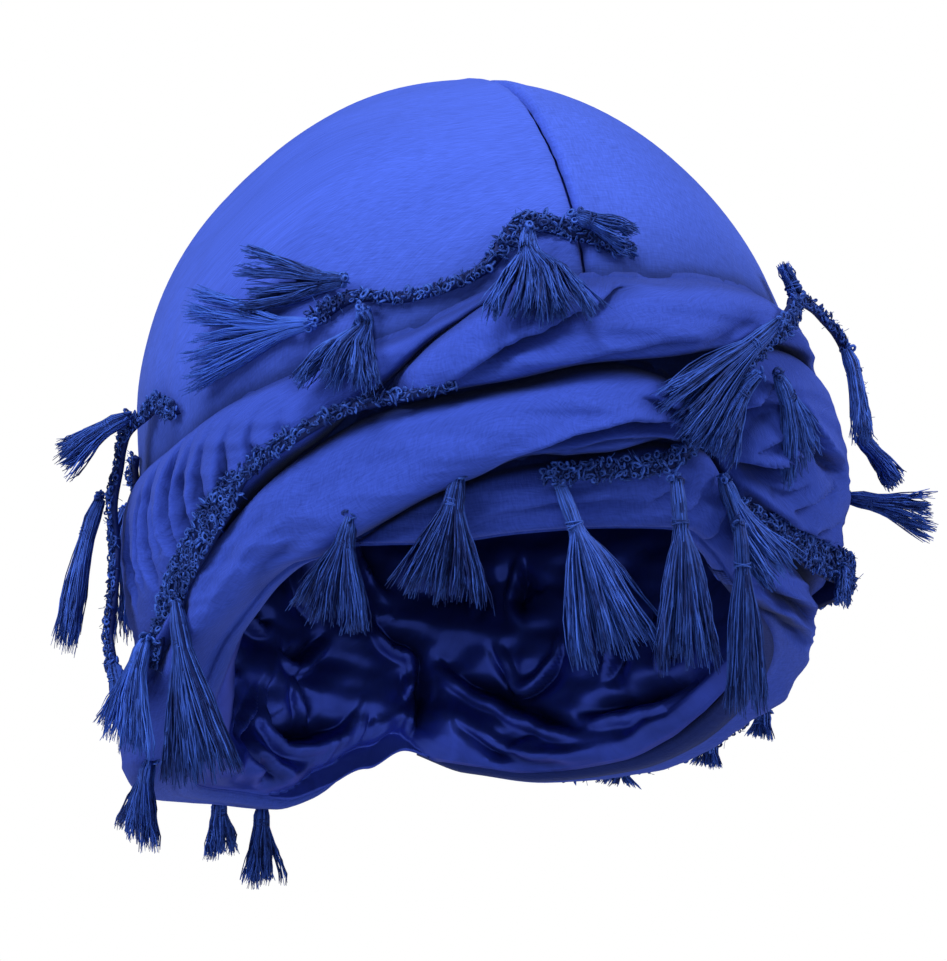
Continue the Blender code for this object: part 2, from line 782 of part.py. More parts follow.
def tassel(name, row, tree):
    """One tassel, seated on the trim or the cloth that carries it."""
    stations = tassel_stations(row, tree)
    rings = seated(lambda lift: tassel_rings(stations, row.width, lift), tree, outward(row.around))
    return new_object(name, loft(rings), THREAD)


def build():
    """All the pieces of the wrap, from the crown outwards."""
    for obj in list(bpy.data.objects):
        bpy.data.objects.remove(obj)
    pieces = [crown_panel("crown_panel_right", -1), crown_panel("crown_panel_left", 1), lining()]
    middle_low = [row for row in RIM_LINE if row.around < -40] + BROW_LINE
    pieces += [
        turn_of_cloth("upper_turn", UPPER_LINE, CROWN_LINE, UPPER_TURN, UPPER_TURN_CREASES, 6.0),
        turn_of_cloth("side_gather", UPPER_LINE, CROWN_LINE, SIDE_GATHER, SIDE_GATHER_CREASES, 4.2),
        turn_of_cloth("middle_turn", middle_low, UPPER_LINE, MIDDLE_TURN, MIDDLE_TURN_CREASES, 6.0),
        turn_of_cloth("front_rim", RIM_LINE, BROW_LINE, FRONT_RIM, FRONT_RIM_CREASES, 5.5, 6),
        turn_of_cloth("left_gather", BROW_LINE, UPPER_LINE, LEFT_GATHER, LEFT_GATHER_CREASES, 4.8),
        turn_of_cloth("low_turn", RIM_LINE, BROW_LINE, LOW_TURN, LOW_TURN_CREASES, 6.0),
    ]
    for name, rows in TRIMS:
        pieces.append(trim(name, rows, tree_of(pieces)))
    for k, row in enumerate(TASSELS):
        pieces.append(tassel(f"tassel_{k + 1:02d}", row, tree_of(pieces)))


build()
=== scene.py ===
"""Looks of the ready-tied tasselled durag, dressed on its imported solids."""
import math
from collections import namedtuple

import bpy
import numpy as np
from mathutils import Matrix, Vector


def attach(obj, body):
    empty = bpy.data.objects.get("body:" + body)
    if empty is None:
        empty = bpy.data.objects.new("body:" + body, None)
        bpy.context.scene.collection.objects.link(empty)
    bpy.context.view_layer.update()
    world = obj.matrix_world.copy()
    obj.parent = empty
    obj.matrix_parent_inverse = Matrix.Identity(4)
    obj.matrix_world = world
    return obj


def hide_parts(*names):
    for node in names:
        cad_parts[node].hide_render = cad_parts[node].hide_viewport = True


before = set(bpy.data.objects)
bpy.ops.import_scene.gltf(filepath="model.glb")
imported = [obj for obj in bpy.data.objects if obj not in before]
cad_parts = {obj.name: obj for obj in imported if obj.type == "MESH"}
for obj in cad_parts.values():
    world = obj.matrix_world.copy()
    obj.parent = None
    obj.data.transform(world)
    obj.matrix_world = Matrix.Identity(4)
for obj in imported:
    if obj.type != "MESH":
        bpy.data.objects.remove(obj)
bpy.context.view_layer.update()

# ---------------------------------------------------------------------------
# Crown: two panels of close, matt blue cotton that lie smooth over the head.
# They are sewn together along a centre seam, whose turned edges sink into a
# narrow groove with faint puckers beside it.
# Places on the head are told as around (degrees from the front, positive to the
# wearer's left), height and proud (mm out from the crown's surface).
MM = 0.001
HALF_WIDTH, HALF_DEPTH = 80.0, 98.0
CROWN_TOP, WIDEST_HEIGHT, CROWN_SQUARENESS = 110.0, 30.0, 1.7
CROWN_CURVE = np.array([HALF_WIDTH ** 2, HALF_DEPTH ** 2, 95.0 ** 2])
TUCK_IN, TUCK_DEPTH, TUCK_POWER = 0.13, 90.0, 1.3
CROWN_HEM, CROWN_CLOTH = 3.0, 1.0
CROWN_RINGS, SKIRT_RINGS = 44, 22
JOIN_WITHIN = 2e-6                              # metres between corners that are one
SEAM_COLUMNS = (0, 0.25, 0.5, 0.8, 1.2, 1.7, 2.4, 3.4, 4.8, 6.6)
SIDE_COLUMNS = (9.0, 171.1, 2.4)                # first, end and step in degrees
SEAM_DEPTH, SEAM_WIDTH, SEAM_GAP = 1.7, 0.8, 0.26
SEAM_RIDGE, SEAM_RIDGE_AT, SEAM_RIDGE_WIDTH = 0.35, 3.4, 1.8
PUCKER, PUCKER_REACH, PUCKER_WAVES = 0.12, 7.0, (7.0, 60.0, 3)      # length, width, seed
UNEVEN, UNEVEN_WAVES = 0.35, (70.0, 70.0, 5)
DRAWN, DRAWN_TO, DRAWN_FADE, DRAWN_WAVES = 0.30, 45.0, 16.0, (13.0, 90.0, 8)
SEAM_CENTRE, SEAM_MM, SIDE_MM = -20.0, 2.0, 1.6         # height, and mm for each degree
# Painted shade on cloth tucked under a neighbour, and mm below the turns' line where the crown
# takes it in full.
TUCKED_SHADE, TUCKED_BELOW = 0.9, -2.0
CROWN_SHADES = ((0.34, 11.0), (0.50, 2.2))      # painted shade on the crown above the turns: share, and reach in mm
COTTON_BLUE, COTTON_TONES, COTTON_SPAN = (0.046, 0.092, 0.5152), (0.74, 1.22), (0.85, 1.65)
WARP_SLUBS, WEFT_SLUBS, CLOUDS = (0.30, 1.9, 1.0), (1.9, 0.30, 1.0), (0.02, 0.035, 1.0)
CLOUD_SHARE, CROWN_WEAVE = 0.5, 0.20            # share of the shade, depth in mm
COTTON_UNDER_PAINTED_SHADE = 0.15                            # share of the colour left under the deepest painted shade

Line = namedtuple("Line", "around height")


def rows_of(kind, *rows):
    """Rows of a table, each with its columns named."""
    return [kind(*row) for row in rows]


RIM_LINE = rows_of(
    Line,
    (-180, -58), (-170, -63), (-158, -67), (-140, -66), (-120, -66), (-105, -64), (-95, -60),
    (-86, -53), (-77, -44), (-70, -35), (-63, -28), (-56, -21), (-50, -17), (-43, -15),
    (-36, -14.5), (-24, -14), (-12, -12), (6, -10), (18, -9.5), (26, -14), (33, -20), (45, -26),
    (60, -31), (75, -37), (90, -45), (104, -52), (120, -57), (142, -59), (155, -57), (165, -55),
    (171, -53), (180, -58))
CROWN_LINE = rows_of(
    Line,
    (-180, -4), (-140, -1), (-110, 6), (-90, 11), (-78, 14), (-69, 18), (-61, 22), (-52, 25.5),
    (-45, 28), (-38, 30.5), (-30, 34), (-24, 38), (-17, 42.5), (-7, 45.5), (2, 47.5), (14, 48.5),
    (24, 50), (36, 50), (50, 47), (65, 42), (80, 36), (100, 26), (120, 15), (150, 1), (180, -4))


def column_of(rows, column, around):
    """Smooth values of one column of a table at places round the head."""
    places = np.array([row.around for row in rows], float)
    values = np.array([getattr(row, column) for row in rows], float)
    spans, steps = np.diff(places), np.diff(values) / np.diff(places)
    slopes = np.zeros(len(places))
    same = steps[:-1] * steps[1:] > 0
    slopes[1:-1][same] = (2 * steps[:-1] * steps[1:])[same] / (steps[:-1] + steps[1:])[same]
    at = np.clip(np.asarray(around, float), places[0], places[-1])
    k = np.clip(np.searchsorted(places, at, side="right") - 1, 0, len(spans) - 1)
    t = (at - places[k]) / spans[k]
    rise = (1 + 2 * t) * (1 - t) ** 2 * values[k] + t * t * (3 - 2 * t) * values[k + 1]
    return rise + spans[k] * (t * (1 - t) ** 2 * slopes[k] - t * t * (1 - t) * slopes[k + 1])


def clipped(share):
    """Shares held between 0 and 1."""
    return np.clip(share, 0.0, 1.0)


def bell(distance, width):
    """Share that is 1 in the middle and falls away over a width."""
    return np.exp(-(distance / width) ** 2)


def unit(vectors):
    """Vectors brought to length 1."""
    return vectors / np.maximum(np.linalg.norm(vectors, axis=-1, keepdims=True), 1e-9)


def lengths_along(places, axis=0):
    """Length run so far along a line of places, or along one axis of a grid of them."""
    run = np.cumsum(np.linalg.norm(np.diff(places, axis=axis), axis=-1), axis=axis)
    return np.concatenate([0.0 * run.take([0], axis), run], axis)


def outward(around):
    """Level directions away from the head."""
    turn = np.radians(around)
    return np.stack([np.sin(turn), -np.cos(turn), 0.0 * turn], -1)


def head_point(around, height, proud):
    """Places on the head, in mm."""
    around, height, proud = np.broadcast_arrays(around, height, proud)
    above = clipped((height - WIDEST_HEIGHT) / (CROWN_TOP - WIDEST_HEIGHT))
    below = np.maximum(WIDEST_HEIGHT - height, 0.0) / TUCK_DEPTH
    scale = np.where(height > WIDEST_HEIGHT, np.sqrt(1.0 - above ** CROWN_SQUARENESS),
                     1.0 - TUCK_IN * below ** TUCK_POWER)
    turn = np.radians(around)
    return np.stack([(HALF_WIDTH * scale + proud) * np.sin(turn),
                     -(HALF_DEPTH * scale + proud) * np.cos(turn), height + 0.0 * turn], -1)


def dome(around, rings, inset):
    """Rings of places from the top of the head down to its widest, inside its surface."""
    climb = np.radians(90.0 * (1.0 - np.linspace(0.0, 1.0, rings)))[None, :]
    rise = np.sin(climb) ** (2 / CROWN_SQUARENESS)
    height = WIDEST_HEIGHT + (CROWN_TOP - inset - WIDEST_HEIGHT) * rise
    turn = np.radians(around)
    return np.stack([(HALF_WIDTH - inset) * np.cos(climb) * np.sin(turn),
                     -(HALF_DEPTH - inset) * np.cos(climb) * np.cos(turn),
                     height + 0.0 * turn], -1)


def ripples(along, across, length, width, seed, waves=14):
    """Even random waves over cloth, about 1 high, of a mean length and width in mm."""
    draw = np.random.default_rng(seed)
    total = 0.0 * along
    for _ in range(waves):
        turn, phase, size = draw.uniform(0, 2 * math.pi, 2).tolist() + [draw.uniform(0.6, 1.6)]
        total = total + np.sin(2 * math.pi * size * (along * math.cos(turn) / length
                                                     + across * math.sin(turn) / width) + phase)
    return total / math.sqrt(waves / 2)


def cloth_sheet(name, points, hollow, thickness, material):
    """Sheet of cloth through a grid of places in mm. One UV map is in mm along the cloth,
    the other holds the painted shade of each place, from 0 to 1, that darkens its colour."""
    rows, columns = points.shape[:2]
    bpy.ops.object.select_all(action="DESELECT")
    bpy.ops.mesh.primitive_grid_add(x_subdivisions=rows - 1, y_subdivisions=columns - 1)
    piece = bpy.context.active_object
    piece.name = piece.data.name = name
    mesh = piece.data
    flat = np.empty(len(mesh.vertices) * 3)
    mesh.vertices.foreach_get("co", flat)
    i, j = (np.rint((side - side.min()) / np.ptp(side) * (count - 1)).astype(int)
            for side, count in zip(flat.reshape(-1, 3).T, (rows, columns)))
    mesh.vertices.foreach_set("co", (points[i, j] * MM).ravel())
    corner = np.empty(len(mesh.loops), int)
    mesh.loops.foreach_get("vertex_index", corner)
    where = np.stack([lengths_along(points, 0)[i, j], lengths_along(points, 1)[i, j]], 1)
    mesh.uv_layers[0].name = "cloth"
    mesh.uv_layers[0].data.foreach_set("uv", where[corner].ravel())
    # The painted shade, in a UV map of its own.
    depth = np.stack([clipped(hollow)[i, j], 0.0 * i], 1)
    mesh.uv_layers.new(name="hollow").data.foreach_set("uv", depth[corner].ravel())
    bpy.ops.object.mode_set(mode="EDIT")
    bpy.ops.mesh.select_all(action="SELECT")
    bpy.ops.mesh.remove_doubles(threshold=JOIN_WITHIN)
    bpy.ops.object.mode_set(mode="OBJECT")
    wall = piece.modifiers.new("wall", "SOLIDIFY")
    wall.thickness, wall.offset = thickness * MM, -1.0
    bpy.ops.object.modifier_apply(modifier="wall")
    bpy.ops.object.shade_smooth()
    mesh.materials.append(material)
    return piece


def new_material(name):
    """Material, its tree and its shader, with nothing else in it."""
    material = bpy.data.materials.new(name)
    material.use_nodes = True
    tree = material.node_tree
    return material, tree, tree.nodes["Principled BSDF"]


def set_inputs(tree, node, inputs):
    """Set or link a node's inputs, each told by its name or number."""
    for key, value in inputs.items():
        if isinstance(value, bpy.types.NodeSocket):
            tree.links.new(value, node.inputs[key])
        else:
            node.inputs[key].default_value = value


def node_in(tree, kind, inputs=None, output=0, **settings):
    """One output of a new shader node, which has these inputs and settings."""
    node = tree.nodes.new("ShaderNode" + kind)
    for key, value in settings.items():
        setattr(node, key, value)
    set_inputs(tree, node, inputs or {})
    return node.outputs[output]


def noise(tree, place, scale=1.0, detail=2.0, rough=0.5, stretch=None):
    """Noise over a place, drawn out along its axes where stretch is given."""
    if stretch:
        place = node_in(tree, "Mapping", {"Vector": place, "Scale": stretch})
    return node_in(tree, "TexNoise", {"Vector": place, "Scale": scale, "Detail": detail,
                                      "Roughness": rough})


def multiply_add(tree, value, factor, added):
    """A value times a factor, and another one added."""
    return node_in(tree, "Math", {0: value, 1: factor, 2: added}, operation="MULTIPLY_ADD")


def relief(tree, height, strength, depth):
    """Normals of a fine relief, its depth in mm."""
    return node_in(tree, "Bump", {"Strength": strength, "Distance": depth * MM,
                                  "Height": height})


def toned(colour, share):
    """A colour made lighter or darker."""
    return [share * part for part in colour]


def two_tone(tree, share, span, dark, light):
    """Colour that goes from dark to light while a share crosses a span."""
    part = node_in(tree, "MapRange", {"Value": share, "From Min": span[0],
                                      "From Max": span[1]})
    colour = node_in(tree, "ValToRGB", {"Fac": part})
    for element, tone in zip(colour.node.color_ramp.elements, (dark, light)):
        element.color = (*tone, 1.0)
    return colour


def darken_by_painted_shade(tree, colour, darkest):
    """Colour darkened by the painted shade held in its UV map."""
    place = node_in(tree, "UVMap", uv_map="hollow")
    depth = node_in(tree, "SeparateXYZ", {0: place})
    share = multiply_add(tree, depth, darkest - 1.0, 1.0)
    return node_in(tree, "VectorMath", {0: colour, "Scale": share}, operation="SCALE")


def weave_group():
    """Plain weave with slubs both ways, from a place on the cloth in mm."""
    tree = bpy.data.node_groups.new("plain_weave", "ShaderNodeTree")
    tree.interface.new_socket("Place", in_out="INPUT", socket_type="NodeSocketVector")
    tree.interface.new_socket("Threads", in_out="OUTPUT", socket_type="NodeSocketFloat")
    start, end = tree.nodes.new("NodeGroupInput"), tree.nodes.new("NodeGroupOutput")
    warp, weft = (noise(tree, start.outputs["Place"], rough=0.65, stretch=stretch)
                  for stretch in (WARP_SLUBS, WEFT_SLUBS))
    both = node_in(tree, "Math", {0: warp, 1: weft}, operation="ADD")
    tree.links.new(both, end.inputs["Threads"])
    return tree


plain_weave = weave_group()


def woven_cotton(name, blue, depth):
    """Matt cotton, a little uneven in colour, with its weave as bump and painted shade darkening
    it in its creases and under its neighbours.
    """
    material, tree, shader = new_material(name)
    place = node_in(tree, "UVMap", uv_map="cloth")
    weave = node_in(tree, "Group", {"Place": place}, node_tree=plain_weave)
    shade = multiply_add(tree, noise(tree, place, stretch=CLOUDS), CLOUD_SHARE, weave)
    colour = two_tone(tree, shade, COTTON_SPAN, *(toned(blue, tone) for tone in COTTON_TONES))
    set_inputs(tree, shader, {
        "Base Color": darken_by_painted_shade(tree, colour, COTTON_UNDER_PAINTED_SHADE),
        "Normal": relief(tree, weave, 0.5, depth), "Roughness": 0.85,
        "Specular IOR Level": 0.15, "Specular Tint": (0.20, 0.32, 1.0, 1.0),
        "Sheen Weight": 0.10, "Sheen Roughness": 0.45, "Sheen Tint": (0.35, 0.45, 1.0, 1.0)})
    return material


crown_cotton = woven_cotton("crown_cotton", COTTON_BLUE, CROWN_WEAVE)


def crown_panel(name, side):
    """Half of the crown from the centre seam round one side to the back seam."""
    near = np.array(SEAM_COLUMNS, float)
    angles = np.concatenate([near, np.arange(*SIDE_COLUMNS), 180.0 - near[::-1]])
    around = side * angles[:, None]
    rim = column_of(RIM_LINE, "height", around) + CROWN_HEM
    down = np.linspace(0.0, 1.0, SKIRT_RINGS)[None, 1:]
    skirt = head_point(around, WIDEST_HEIGHT + (rim - WIDEST_HEIGHT) * down, 0.0)
    points = np.concatenate([dome(around, CROWN_RINGS, 0.0), skirt], 1)
    across, back, height = np.moveaxis(points, -1, 0)
    apart = np.abs(across)
    along_seam = np.degrees(np.arctan2(height - SEAM_CENTRE, back)) * SEAM_MM
    press = SEAM_DEPTH * bell(apart, SEAM_WIDTH)
    press -= SEAM_RIDGE * bell(apart - SEAM_RIDGE_AT, SEAM_RIDGE_WIDTH)
    press += PUCKER * ripples(along_seam, apart, *PUCKER_WAVES) * bell(apart, PUCKER_REACH)
    press += UNEVEN * ripples(back, height + across, *UNEVEN_WAVES)
    drawn = np.exp(-np.maximum(height - DRAWN_TO, 0.0) / DRAWN_FADE)
    press += DRAWN * drawn * ripples(around * SIDE_MM, height, *DRAWN_WAVES)
    points = points - unit(points / CROWN_CURVE) * press[..., None]
    points[..., 0] += side * SEAM_GAP
    # Painted shade on the crown: a little just above the turns, fading upward, and full under
    # them.
    above = points[..., 2] - column_of(CROWN_LINE, "height", around + 0.0 * height)
    hollow = sum(share * bell(np.maximum(above, 0.0), reach) for share, reach in CROWN_SHADES)
    hollow = np.where(above < TUCKED_BELOW, TUCKED_SHADE, hollow)
    points, hollow = points[::side, ::-1], hollow[::side, ::-1]
    return cloth_sheet(name, points, hollow, CROWN_CLOTH, crown_cotton)


for name, side in (("crown_right", -1), ("crown_left", 1)):
    panel = crown_panel(name, side)
    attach(panel, "root")
    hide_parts(name.replace("crown", "crown_panel"))

# ---------------------------------------------------------------------------
# Wound turns: one long cotton scarf laid round the brow, the sides and the nape in
# rolls. Each roll swells between the two lines that bound it, is pressed in along its
# creases, and has its edges tucked under its neighbours or turned in over the rim.
# A fold is told by the places of its way, and laps the cloth left of it over the right.
MM_PER_DEGREE = 1.55
TURN_GAP, NEIGHBOUR_GAP, TURN_CLOTH = 0.6, 0.5, 0.9
EDGE_THICKNESS, EDGE_FADE, END_ROUNDING, HEM_FADE = 0.6, 4.0, 9.0, 9.0
SAG = 0.38                                      # mm down for each mm proud
FRONT_STEP, BACK_STEP, FINE_FROM, FINE_TO = 0.78, 2.4, -100.0, 76.0
FEWEST_ROWS, ROWS_PER_MM = 16, 1.3
ROLL_LEAN, ROLL_FULLNESS, ROOM_RISE = 0.90, 0.60, 1.6
LONG_WAVES, SMALL_WAVES, STREAKS = (75.0, 12.0), (26.0, 6.0), (75.0, 6.0)      # mm
WAVE_CREST, SMALL_SHARE, STREAK_SHARE, STREAK_CREST = 0.6, 0.20, 0.55, 0.5
FLATTEST, LAP_RISE = 0.12, 1.3                  # share of the swell left, rise for each mm of lap
SOFT_LAP, LAP_SHIFT, POCKET_SHIFT = 0.55, 0.75, 0.2
PULL_WIDTH, PULL_SHARE, PULL_RISE, LAP_FADE, FOLD_STEPS = 0.7, 0.9, 2.0, 1.5, 5
WOBBLE, WOBBLE_RATE, UNEVEN_DEPTH, UNEVEN_RATE = 0.18, 0.45, 0.06, 0.3
FADE_IN, FADE_OUT, SLOW_FADE_OUT = 2.6, 2.6, 1.15
FULL_SHADE_DEPTH = 5.0                          # mm, at which a fold's painted shade is at its darkest
# In mm, and more for each mm of the fold's width: its round rim, and the crest beside it.
RIM_ROUND, CREST_AT, CREST_WIDTH = (0.9, 0.25), (0.9, 0.2), (0.7, 0.15)
# A soft dent's painted shade is a share of a fold's.
SLOPE_WIDTH, SLOPE_POWER, DENT_WIDTH, DENT_SHADE = 2.6, 1.7, 1.1, 0.45
SHADE_LEFT, SHADE_RIGHT = 0.5, 0.6              # reach of a fold's painted shade: in mm, and as a share of the width
RIDGE_WIDTH, RIDGE_CREST, POCKET_WIDTH, POCKET_LEFT = 1.6, 1.4, 1.9, 0.35
LOW_SHADE, HIGH_SHADE, END_SHADE = 1.5, 0.8, 2.5        # reach of the painted shade at the edges and ends in mm
# Painted shade at a turn's ends, as a share.
END_PAINTED_SHADE, HEM_LEAST = 0.8, 0.15
# Painted shade along a top edge on the crown is this share of the full; its tuck reaches this
# share as far.
ON_CROWN_SHADE, ON_CROWN_TUCK = 0.45, 0.6
TUCK = ((0.5, 0.5), (2.1, 0.2))                 # mm past the edge, mm proud
HEM_INSIDE = ((-3.6, 1.0), (-3.7, 0.75), (-3.7, 0.5), (-3.6, 0.25))     # mm proud, share up
HEM_EDGE = ((-3.3, 0.4), (-2.2, -0.7), (-0.4, -1.2), (1.4, -0.9))       # mm proud, mm up
ALL_ROUND, NOWHERE, BROW_START, BROW_FADE = -360.0, 360.0, -40.0, 6.0
SCARF_BLUE, SCARF_WEAVE = (0.0306, 0.063, 0.396), 0.26

Section = namedtuple("Section", "around proud low_inset high_inset",
                     defaults=[NEIGHBOUR_GAP, NEIGHBOUR_GAP])
Fold = namedtuple("Fold", "depth width lap places")
# inner_shade is painted shade on a hem turned in inside the opening.
Turn = namedtuple("Turn", "name low_line high_line sections folds cut seed roll hem "
                  "tucked_from fade_out inner_shade", defaults=[None, ALL_ROUND, FADE_OUT, 0.0])
UPPER_LINE = rows_of(
    Line,
    (-180, -25), (-140, -30), (-110, -33), (-95, -32), (-84, -28), (-77, -22.5), (-70, -16),
    (-63, -8), (-56, 0), (-50, 6), (-44, 10.5), (-37, 15), (-30, 17.5), (-22, 19.5), (-13, 22),
    (-2, 26), (10, 28.5), (21, 32), (33, 37), (46, 37), (60, 33), (75, 27), (90, 19), (120, 3),
    (150, -14), (180, -25))
BROW_LINE = rows_of(
    Line,
    (-40, -13), (-34, -9), (-25, -2.7), (-16, 1.6), (-7, 4), (1, 6.6), (12, 9.5), (20, 9.5),
    (27, 2), (33, -7), (45, -11), (70, -15), (90, -19), (120, -24), (150, -29), (180, -29))


def fold(depth, width, lap, *places):
    """One fold: its depth, width and lap in mm, and the places along its way."""
    return Fold(depth, width, lap, places)


UPPER_TURN = rows_of(
    Section,
    (-33.5, 3, 1.0, 12), (-31.8, 6, 0.9, 9), (-28.4, 9, 1.2, 6.5), (-25, 10.5, 1.4, 4.6),
    (-21, 11, 1.5, 3.0), (-14, 12, 1.5, 1.2), (-5, 12.5, 1.3), (20, 12, 1.2), (40, 8.5),
    (62, 5.5), (100, 7), (150, 8), (178, 5))
UPPER_FOLDS = [
    fold(6.5, 2.6, 1.2, (-27, 20), (-22, 23.6), (-16, 31), (-8.7, 36.8), (-0.4, 43.4),
         (5, 46.4), (13, 49.4)),
    fold(1.8, 2.6, 0.6, (-14, 24.5), (-4, 29), (8, 34), (20, 37)),
    fold(3.0, 2.6, 0.3, (13, 31), (19, 36.5), (25, 41), (33, 45.5)),
    fold(2.6, 2.2, 0.3, (18, 32), (28, 38), (42, 42)),
    fold(3.0, 4.0, 0.5, (58, 38), (80, 28), (100, 14), (120, 4)),
    fold(3.5, 4.0, 0.5, (110, 20), (130, 8), (150, -6), (170, -18)),
    fold(2.4, 3.5, 0.6, (66, 30), (86, 30), (108, 21), (126, 12))]
SIDE_GATHER = rows_of(
    Section,
    (-178, 5), (-140, 8), (-110, 6), (-92, 6.5), (-80, 9.5), (-62, 12), (-46, 12),
    (-39.5, 10, 2.5), (-36.9, 9, 4.0), (-33.8, 8, 6.0), (-30, 6.5, 9.5), (-27.3, 5, 12.6),
    (-21, 3.2, 17.4), (-15, 1.5, 20.5))
SIDE_FOLDS = [
    fold(8.0, 2.8, 0.9, (-70, -14), (-73.7, -3), (-73.4, 6), (-71, 13), (-67.5, 21)),
    fold(7.5, 2.5, 0.9, (-65, -16), (-68.6, -6), (-69.2, 3), (-67.6, 11), (-63.5, 21)),
    fold(6.5, 2.2, 0.9, (-62, -10), (-64.5, 2), (-63.8, 11), (-60.5, 21)),
    fold(5.0, 2.0, 0.8, (-59.5, -3), (-59.2, 5), (-58.6, 12), (-56, 22)),
    fold(3.5, 1.8, 0.7, (-54, 3), (-53.4, 9.7), (-53.4, 15), (-51, 23)),
    fold(7.0, 2.6, 0.9, (-77, -21), (-81.6, -10), (-81.5, 1), (-78.5, 9.7), (-74.5, 17)),
    fold(4.5, 2.1, 0.8, (-83, -20), (-87, -10), (-86.5, 0), (-81, 11)),
    fold(2.6, 1.6, 0.5, (-75, -12), (-77.6, -2), (-76.6, 8)),
    fold(2.0, 1.6, 0.5, (-49, 12), (-48, 17), (-47.5, 23)),
    fold(2.0, 2.6, 0.6, (-50, 26), (-45, 24.5), (-40, 23)),
    fold(1.6, 2.0, 0.6, (-47, 28.5), (-40, 27), (-34, 28.5)),
    fold(3.5, 3.0, 0.8, (-92, -24), (-96, -8), (-92, 8)),
    fold(3.5, 4.2, 0.5, (-150, -22), (-132, -24), (-116, -10), (-100, 4)),
    fold(3.5, 4.2, 0.5, (-172, -20), (-156, -14), (-136, -6), (-118, 0))]
MIDDLE_TURN = rows_of(
    Section,
    (-177, 4, 2.4), (-167, 6, 0.2), (-140, 9, 0.0), (-115, 12, 0.0), (-92, 13, 0.0),
    (-76, 13.5, 0.0), (-60, 13.5, 0.0), (-42, 13.5, 0.0, 0.6), (-20, 14, 1.0, 0.3),
    (-11, 14, 2.8, 0.3), (-4, 13.8, 1.6, 0.0), (2, 13.5, 0.8, 0.4), (12, 9.5, 1.0, 4.4),
    (20, 3.5, 1.0, 14.0))
MIDDLE_FOLDS = [
    fold(8.5, 3.0, 1.3, (-20, 1.2), (-14.5, 6), (-11, 8.8), (-7.4, 11.5), (-4.8, 13.2),
         (-2, 14.4), (2, 15.8), (6, 16.2), (10, 15.8), (18, 13.4)),
    fold(3.6, 2.0, 0.8, (-13, 4.6), (-6, 8.4), (0, 11), (5, 12.2), (12, 11.4), (19, 9.4)),
    fold(2.2, 2.2, 0.7, (3, 21.5), (8, 20.6), (12.5, 18.4), (17, 14)),
    fold(1.8, 2.0, 0.6, (0, 17.5), (7, 17), (12, 15.2), (17, 12)),
    fold(1.2, 3.4, 0.1, (-44, 5), (-34, 11.5), (-25, 14.8), (-12, 18)),
    fold(1.4, 4.0, 0.1, (-52, -6), (-42, 3), (-33, 8), (-20, 11)),
    fold(3.0, 3.4, 0.5, (-64, -32), (-56, -20), (-50, -12.5), (-40, -6)),
    fold(2.0, 3.4, 0.3, (-68, -26), (-60, -14), (-54, -6), (-45, 0)),
    fold(3.4, 3.2, 0.9, (-84, -44), (-76, -33), (-69, -23), (-64, -14)),
    fold(4.0, 4.4, 0.5, (-140, -56), (-118, -51), (-98, -44), (-84, -36)),
    fold(4.0, 4.4, 0.5, (-176, -36), (-156, -42), (-134, -47), (-112, -44))]
FRONT_RIM = rows_of(
    Section,
    (-41, 1.5, 0.9, 0.5), (-35, 3, 0.5, 0.5), (-25, 5, 0.0), (0, 6, 0.0), (18, 6, 0.0),
    (27, 4.5, 0.0), (34, 3, 0.0, 1.0))
FRONT_FOLDS = [
    fold(1.8, 2.6, 0.7, (-22, -9), (-8, -5), (4, -3.5), (14, -5)),
    fold(4.0, 2.8, 1.2, (22.4, -15), (23.6, -8), (24.4, -1), (24, 6)),
    fold(1.5, 1.8, 0.6, (-12, -3), (-4, 0), (4, 1.4)),
    fold(1.9, 1.9, 0.7, (7, -6), (12, -1), (18, 3)),
    fold(1.6, 1.7, 0.6, (14, -8), (17, -4), (21, 0))]
LEFT_GATHER = rows_of(
    Section,
    (22, 4, 1.0, 9.0), (30, 9, NEIGHBOUR_GAP, 2.0), (45, 12), (68, 14), (90, 13), (120, 10),
    (158, 4))
LEFT_FOLDS = [
    fold(7.5, 2.8, 1.3, (22.5, 9), (24.8, 15), (27.5, 20.5), (31, 25), (36, 29)),
    fold(9.5, 3.4, 1.6, (23.5, 7.4), (28, 7.6), (32.5, 9), (36.5, 11.5), (39.5, 15),
         (41.5, 20)),
    fold(8.0, 2.8, 1.4, (25, 4), (29.5, 1.4), (36.1, -2.2), (43.6, -4.2), (52, -4.6), (62, -5)),
    fold(5.0, 2.4, 1.1, (43, -5), (48.3, -2.6), (56.3, 0.6), (64, 4)),
    fold(5.0, 2.6, 1.0, (38, -1.5), (42.3, 1.7), (47.5, 6.1), (56.2, 11.3)),
    fold(8.0, 3.4, 1.2, (39, 28), (41.0, 23.8), (45.3, 18.5), (51.5, 15.1), (60, 13)),
    fold(2.0, 1.6, 0.6, (27, 9.6), (31, 13), (35, 16), (38.5, 20)),
    fold(2.0, 1.6, 0.6, (26, 11.5), (28.6, 16.5), (32, 21), (36, 24)),
    fold(2.4, 2.0, 0.6, (28, 5.6), (33, 4), (38, 4.4), (44, 8)),
    fold(3.4, 3.0, 0.5, (52, 30), (60, 27), (70, 21), (80, 16)),
    fold(3.8, 4.2, 0.5, (70, 24), (84, 12), (104, 2), (126, -8)),
    fold(3.2, 4.0, 0.5, (78, -4), (100, -12), (124, -18), (146, -24))]
LOW_TURN = rows_of(
    Section,
    (30, 3, 0.0), (38, 6.5, 0.0), (50, 9, 0.0), (70, 10, 0.0), (90, 11, 0.0), (130, 9, 0.0),
    (158, 6, 0.2), (168, 4, 2.4))
